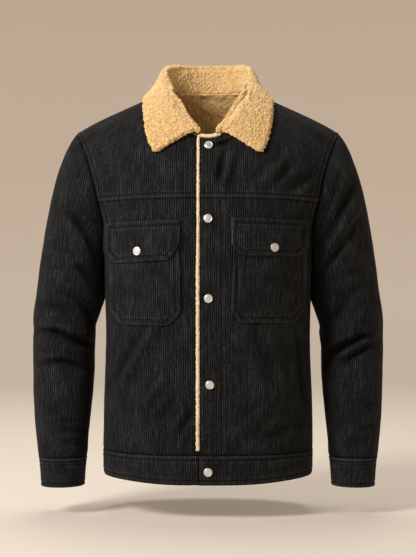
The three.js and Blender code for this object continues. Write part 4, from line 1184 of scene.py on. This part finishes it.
@dataclass(frozen=True)
class Sherpa:
    """Curly fleece: a deep colour in its clefts as painted shade, and pale curls, with finer threads."""

    name: str
    cleft_shade: tuple[float, float, float]
    middle: tuple[float, float, float]
    curl: tuple[float, float, float]

    def material(self) -> bpy.types.Material:
        """The finish as a material."""
        shader = Shader(self.name, roughness=0.95, sheen=0.35, sheen_tint=(1.0, 0.86, 0.62))
        place = shader.node("ShaderNodeTexCoord", {}, {}).outputs["Object"]
        pile = Value(shader, shader.node("ShaderNodeAttribute", {"attribute_name": "pile"}, {}).outputs["Fac"])
        threads = shader.noise(place, 900, 3)
        tufts = shader.noise(place, 330, 2)
        patches = shader.noise(place, 28, 2)
        tone = pile * 0.62 + (threads - 0.5) * 0.5 + (tufts - 0.5) * 0.55 + (patches - 0.5) * 0.25 + 0.22
        # Painted shade: the colour darkens towards the clefts between curls.
        shader.ramp(tone, ((0.12, self.cleft_shade), (0.5, self.middle), (0.85, self.curl)))
        shader.bump(threads * 0.5 + tufts, 1.6 * MM, 0.85)
        return shader.material


@dataclass(frozen=True)
class Nickel:
    """Pale nickel with a soft brushed grain."""

    colour: tuple[float, float, float] = (0.8, 0.8, 0.79)

    def material(self) -> bpy.types.Material:
        """The finish as a material."""
        shader = Shader("nickel", roughness=0.42, metallic=0.85)
        place = shader.node("ShaderNodeTexCoord", {}, {}).outputs["Object"]
        grain = shader.noise(place, 700, 2)
        shade = tuple(0.86 * c for c in self.colour)
        shader.ramp(grain, ((0.3, shade), (0.7, self.colour)))
        shader.bump(grain, 0.05 * MM, 0.4)
        return shader.material


@dataclass(frozen=True)
class Thread:
    """Black sewing thread with a slight gloss."""

    dark: tuple[float, float, float] = (0.006, 0.006, 0.006)
    light: tuple[float, float, float] = (0.022, 0.022, 0.022)

    def material(self) -> bpy.types.Material:
        """The finish as a material."""
        shader = Shader("thread", roughness=0.55)
        place = shader.node("ShaderNodeTexCoord", {}, {}).outputs["Object"]
        twist = shader.noise(place, 1500, 1)
        shader.ramp(twist, ((0.3, self.dark), (0.7, self.light)))
        shader.bump(twist, 0.2 * MM, 0.5)
        return shader.material


@dataclass
class Studio:
    """Pale floor that sweeps up all round, soft light and the camera, in metres."""

    floor_z: float = -0.75
    radius: float = 4.4
    bend: float = 1.3
    height: float = 3.0
    camera: tuple[float, float, float] = (0.0, -2.5, -0.337)
    lens: float = 89.8
    shadow_fill_glow: float = 0.2

    BEND_STEPS = 12
    TURN_STEPS = 96

    def build(self) -> None:
        """Sets the stage, the lights and the camera."""
        self._sweep()
        self._light("key", (-1.9, -1.6, 1.35), (0, 0, -0.28), 0.9, 88, (1.0, 0.975, 0.94))
        self._light("fill", (1.2, -2.5, 0.9), (0, 0, -0.35), 1.6, 1.5, (1.0, 0.95, 0.88))
        self._light("top", (0.0, 0.95, 2.0), (0, 0.25, -0.75), 1.5, 40, (1.0, 0.97, 0.93))
        world = bpy.data.worlds.new("studio")
        world.use_nodes = True
        background = world.node_tree.nodes["Background"]
        background.inputs["Color"].default_value = (1.0, 0.93, 0.84, 1)
        background.inputs["Strength"].default_value = 0.08
        bpy.context.scene.world = world
        bpy.context.scene.view_settings.view_transform = "Standard"
        data = bpy.data.cameras.new("camera")
        data.lens = self.lens
        shown = bpy.data.objects.new("camera", data)
        shown.location = self.camera
        shown.rotation_euler = (math.pi / 2, 0, 0)
        bpy.context.scene.collection.objects.link(shown)
        bpy.context.scene.camera = shown

    def _sweep(self) -> None:
        """The floor and the wall round it, turned from one line."""
        bm = bmesh.new()
        centre = Vector((self.radius - self.bend, 0, self.floor_z + self.bend))
        turns = [math.pi / 2 * step / self.BEND_STEPS for step in range(self.BEND_STEPS + 1)]
        line = [Vector((0, 0, self.floor_z))]
        line += [centre + self.bend * Vector((math.sin(turn), 0, -math.cos(turn))) for turn in turns]
        line.append(Vector((self.radius, 0, self.height)))
        verts = [bm.verts.new(point) for point in line]
        edges = [bm.edges.new(pair) for pair in zip(verts, verts[1:])]
        bmesh.ops.spin(
            bm,
            geom=verts + edges,
            axis=(0, 0, 1),
            cent=(0, 0, 0),
            angle=2 * math.pi,
            steps=self.TURN_STEPS,
            use_merge=True,
        )
        bmesh.ops.remove_doubles(bm, verts=bm.verts[:], dist=1e-5)
        bmesh.ops.recalc_face_normals(bm, faces=bm.faces[:])
        if min(bm.faces, key=lambda f: f.calc_center_median().z).normal.z < 0:
            bmesh.ops.reverse_faces(bm, faces=bm.faces[:])
        mesh = bpy.data.meshes.new("sweep")
        bm.to_mesh(mesh)
        bm.free()
        mesh.shade_smooth()
        shader = Shader("sweep", roughness=0.9, specular=0.1)
        place = shader.node("ShaderNodeTexCoord", {}, {}).outputs["Object"]
        height = Value(shader, shader.node("ShaderNodeSeparateXYZ", {}, {0: place}).outputs["Z"])
        # Painted shade: the colour darkens up the wall as the light falls off.
        shader.ramp(
            height - self.floor_z, ((0.0, (0.58, 0.515, 0.45)), (0.4, (0.6, 0.51, 0.42)), (1.0, (0.53, 0.44, 0.34)))
        )
        # Painted light: the sweep glows without a lamp, lightening the jacket's shadow on the floor.
        shader.surface.inputs["Emission Color"].default_value = (1.0, 0.87, 0.74, 1)
        shader.surface.inputs["Emission Strength"].default_value = self.shadow_fill_glow
        mesh.materials.append(shader.material)
        shown = bpy.data.objects.new("sweep", mesh)
        bpy.context.scene.collection.objects.link(shown)

    @staticmethod
    def _light(
        name: str,
        place: tuple[float, float, float],
        target: tuple[float, float, float],
        size: float,
        power: float,
        colour: tuple[float, float, float],
    ) -> None:
        """A square soft light that faces a point."""
        data = bpy.data.lights.new(name, "AREA")
        data.size, data.energy, data.color = size, power, colour
        shown = bpy.data.objects.new(name, data)
        shown.location = place
        shown.rotation_euler = (Vector(target) - Vector(place)).to_track_quat("-Z", "Y").to_euler()
        bpy.context.scene.collection.objects.link(shown)


def yoke_groove() -> Groove:
    """The line of topstitching above the yoke seam."""
    return Groove(point=(0, 0, YOKE_SEAM_Z + 7.5), normal=(0, 0, 1), inside=everywhere, shift=yoke_dip)


def placket_groove() -> Groove:
    """The line of topstitching down the front facing."""
    return Groove(point=(PLACKET_X, 0, 0), normal=(1, 0, 0), inside=everywhere, deep=1.3)


def band_grooves() -> list[Groove]:
    """The lines along both edges of the waistband."""
    return [
        Groove(point=(0, 0, WAIST_SEAM_Z - 7), normal=(0, 0, 1), inside=everywhere),
        Groove(point=(0, 0, HEM_FRONT_Z + 8), normal=(0, 0, 1), inside=everywhere, shift=hem_rise),
        Groove(point=(-15.5, 0, 0), normal=(1, 0, 0), inside=lambda p: p[:, 1] < 0, sewn=False),
    ]


def cuff_grooves() -> list[Groove]:
    """The two lines under a cuff's seam, and the one above its hem."""
    heights = (CUFF_SEAM_Z - 6.5, CUFF_SEAM_Z - 11, CUFF_HEM_Z + 7)
    return [Groove(point=(0, 0, z), normal=(0, 0, 1), inside=everywhere) for z in heights]


def corduroy_pieces() -> list[CorduroyPiece]:
    """The pieces of the shell."""
    front, rear = Origin.FRONT_MIDDLE, Origin.BACK_MIDDLE
    right, left = armhole_groove(-1), armhole_groove(1)
    placket, yoke, push = placket_groove(), yoke_groove(), body_push
    pieces = [
        CorduroyPiece("front_right", TORSO, front, push, [right], 3, 34, (0.31, 0.445), 0.122, body_lap),
        CorduroyPiece("front_left", TORSO, front, push, [placket, left], 3, 34, (0.3, 0.445), 0.118, body_lap),
        CorduroyPiece("yoke_right", TORSO, front, push, [yoke, right], 3, 34, (0.25, 0.21), 0.0445, body_lap),
        CorduroyPiece("yoke_left", TORSO, front, push, [yoke, left], 3, 34, (0.25, 0.21), 0.044, body_lap),
        CorduroyPiece("back", TORSO, rear, push, [right, left], 3, 60, (0.56, 0.66), 0.32, body_lap),
        CorduroyPiece(
            "waistband", TORSO, rear, push, band_grooves(), 3, 60, (1.08, 0.05), 0.0535, band_lap(WAIST_SEAM_Z)
        ),
    ]
    flats = {
        "pocket_right": ((0.14, 0.155), 0.0205),
        "pocket_left": ((0.146, 0.152), 0.021),
        "flap_right": ((0.145, 0.076), 0.0106),
        "flap_left": ((0.148, 0.068), 0.0098),
    }
    for node, (flat, area) in flats.items():
        patch = PATCHES[node]
        pieces.append(CorduroyPiece(node, TORSO, front, push, patch.grooves(), 2, 20, flat, area, patch.lap))
    for side, hand in ((-1, "right"), (1, "left")):
        sleeve, outer, cuff = SLEEVES[side], Origin.OUTER_LINE, band_lap(CUFF_SEAM_Z)
        pieces += [
            CorduroyPiece(
                f"sleeve_{hand}", sleeve, outer, sleeve_push, [], 2, 22, (0.42, 0.6), 0.178, sleeve_lap, tucked
            ),
            CorduroyPiece(
                f"cuff_{hand}", sleeve, outer, sleeve_push, cuff_grooves(), 3, 34, (0.27, 0.051), 0.0134, cuff
            ),
        ]
    return pieces


def towards_hollow(middles: Points, normals: Points) -> np.ndarray:
    """Faces of the lining that look into the jacket."""
    return (TORSO.outward(middles) * normals).sum(axis=1) < -0.2


def faces_forward(middles: Points, normals: Points) -> np.ndarray:
    """Faces of the edging that don't look back."""
    return normals[:, 1] < 0.2


class CollarSides:
    """Tells the collar's faces that show from those that lie close to another face."""

    CLOSE = 26.0

    def __init__(self) -> None:
        """Gathers what the collar's hidden faces lie against."""
        bm = bmesh.new()
        for node in ("collar", "yoke_right", "yoke_left", "back"):
            bm.from_mesh(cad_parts[node].data)
        self.tree = BVHTree.FromBMesh(bm)
        bm.free()

    def __call__(self, middles: Points, normals: Points) -> np.ndarray:
        """Whether each face shows."""
        found = []
        for middle, normal in zip(middles, normals):
            start = (Vector(middle) + Vector(normal) * 0.4) * MM
            hit = self.tree.ray_cast(start, Vector(normal), self.CLOSE * MM)
            found.append(hit[0] is None)
        return np.array(found)


def raised_to_collar(points: Points) -> Points:
    """The back lining drawn up to the collar's seam."""
    near = (1 - ease(56, 76, np.abs(points[:, 0]))) * ease(20, 40, points[:, 1])
    return points + np.outer(near * ease(-24, -8, points[:, 2]), (0, -0.4, 7.6))


def slim(points: Points) -> Points:
    """The edging as narrow as it shows, with its top run drawn to the collar."""
    moved = points.copy()
    x, z = points[:, 0], points[:, 2]
    across = ease(-15, -12, x)
    narrow = 0.62 + 0.16 * ease(250, 340, -z)
    moved[:, 0] += (1 - across) * (narrow - 1) * (x + 14.4) + 12.5 * ease(-2, 9, x)
    moved[:, 2] += across * (-0.2 * (z + 94) + 2.4) + 3.4 * ease(0, 9, x)
    return moved


def full_collar(points: Points) -> Points:
    """The collar's roll, fuller at its upper corners."""
    moved = points.copy()
    corner = bell(np.abs(points[:, 0]) - 70, 20) * ease(12, 36, points[:, 2])
    moved[:, 0] += np.sign(points[:, 0]) * 5.0 * corner
    moved[:, 2] += 4.5 * corner
    return moved


def sherpa_pieces() -> list[SherpaPiece]:
    """The pieces of fleece."""
    sides = CollarSides()
    back, front = (0.54, 0.66), (0.29, 0.66)
    inner = {"shows": towards_hollow, "levels": 2, "cuts": 1, "longest": 60, "size": 9.0, "height": 1.8}
    inner |= {"swell": 0.2, "hidden": 0}
    return [
        SherpaPiece(
            "collar", "sherpa", sides, 2, 3, 34, 4.6, 2.5, 1.6, (0.5, 0.17), 0.07, rim=0.35, form=full_collar
        ),
        SherpaPiece(
            "edging", "sherpa", faces_forward, 3, 0, 9, 3.4, 1.5, 0.1, (0.6, 0.012), 0.0055, body_push, 0.5, form=slim
        ),
        SherpaPiece("lining_back", "sherpa_lining", flat=back, area=0.29, form=raised_to_collar, **inner),
        SherpaPiece("lining_front_right", "sherpa_lining", flat=front, area=0.116, **inner),
        SherpaPiece("lining_front_left", "sherpa_lining", flat=front, area=0.129, **inner),
    ]


SNAPS = ("snap_1", "snap_2", "snap_3", "snap_4", "snap_5", "snap_flap_right", "snap_flap_left")


def main() -> None:
    """Builds every piece and the studio."""
    logging.basicConfig(level=logging.INFO, format="%(message)s")
    corduroy = Corduroy().material()
    fleece = {
        "sherpa": Sherpa("sherpa", (0.4, 0.225, 0.075), (0.74, 0.485, 0.21), (0.86, 0.67, 0.38)).material(),
        "edging": Sherpa("edging", (0.62, 0.44, 0.22), (0.86, 0.7, 0.46), (0.95, 0.84, 0.64)).material(),
        "sherpa_lining": Sherpa("sherpa_lining", (0.4, 0.22, 0.06), (0.78, 0.5, 0.2), (0.92, 0.68, 0.36)).material(),
    }
    cloths = [piece.build(corduroy)[1] for piece in corduroy_pieces()]
    for piece in sherpa_pieces():
        piece.build(fleece["edging" if piece.node == "edging" else piece.slot])
    nickel = Nickel().material()
    for node in SNAPS:
        Snap(node).build(nickel)
    Stitching(cloths).build(Thread().material())
    Studio().build()


if __name__ == "__main__":
    main()
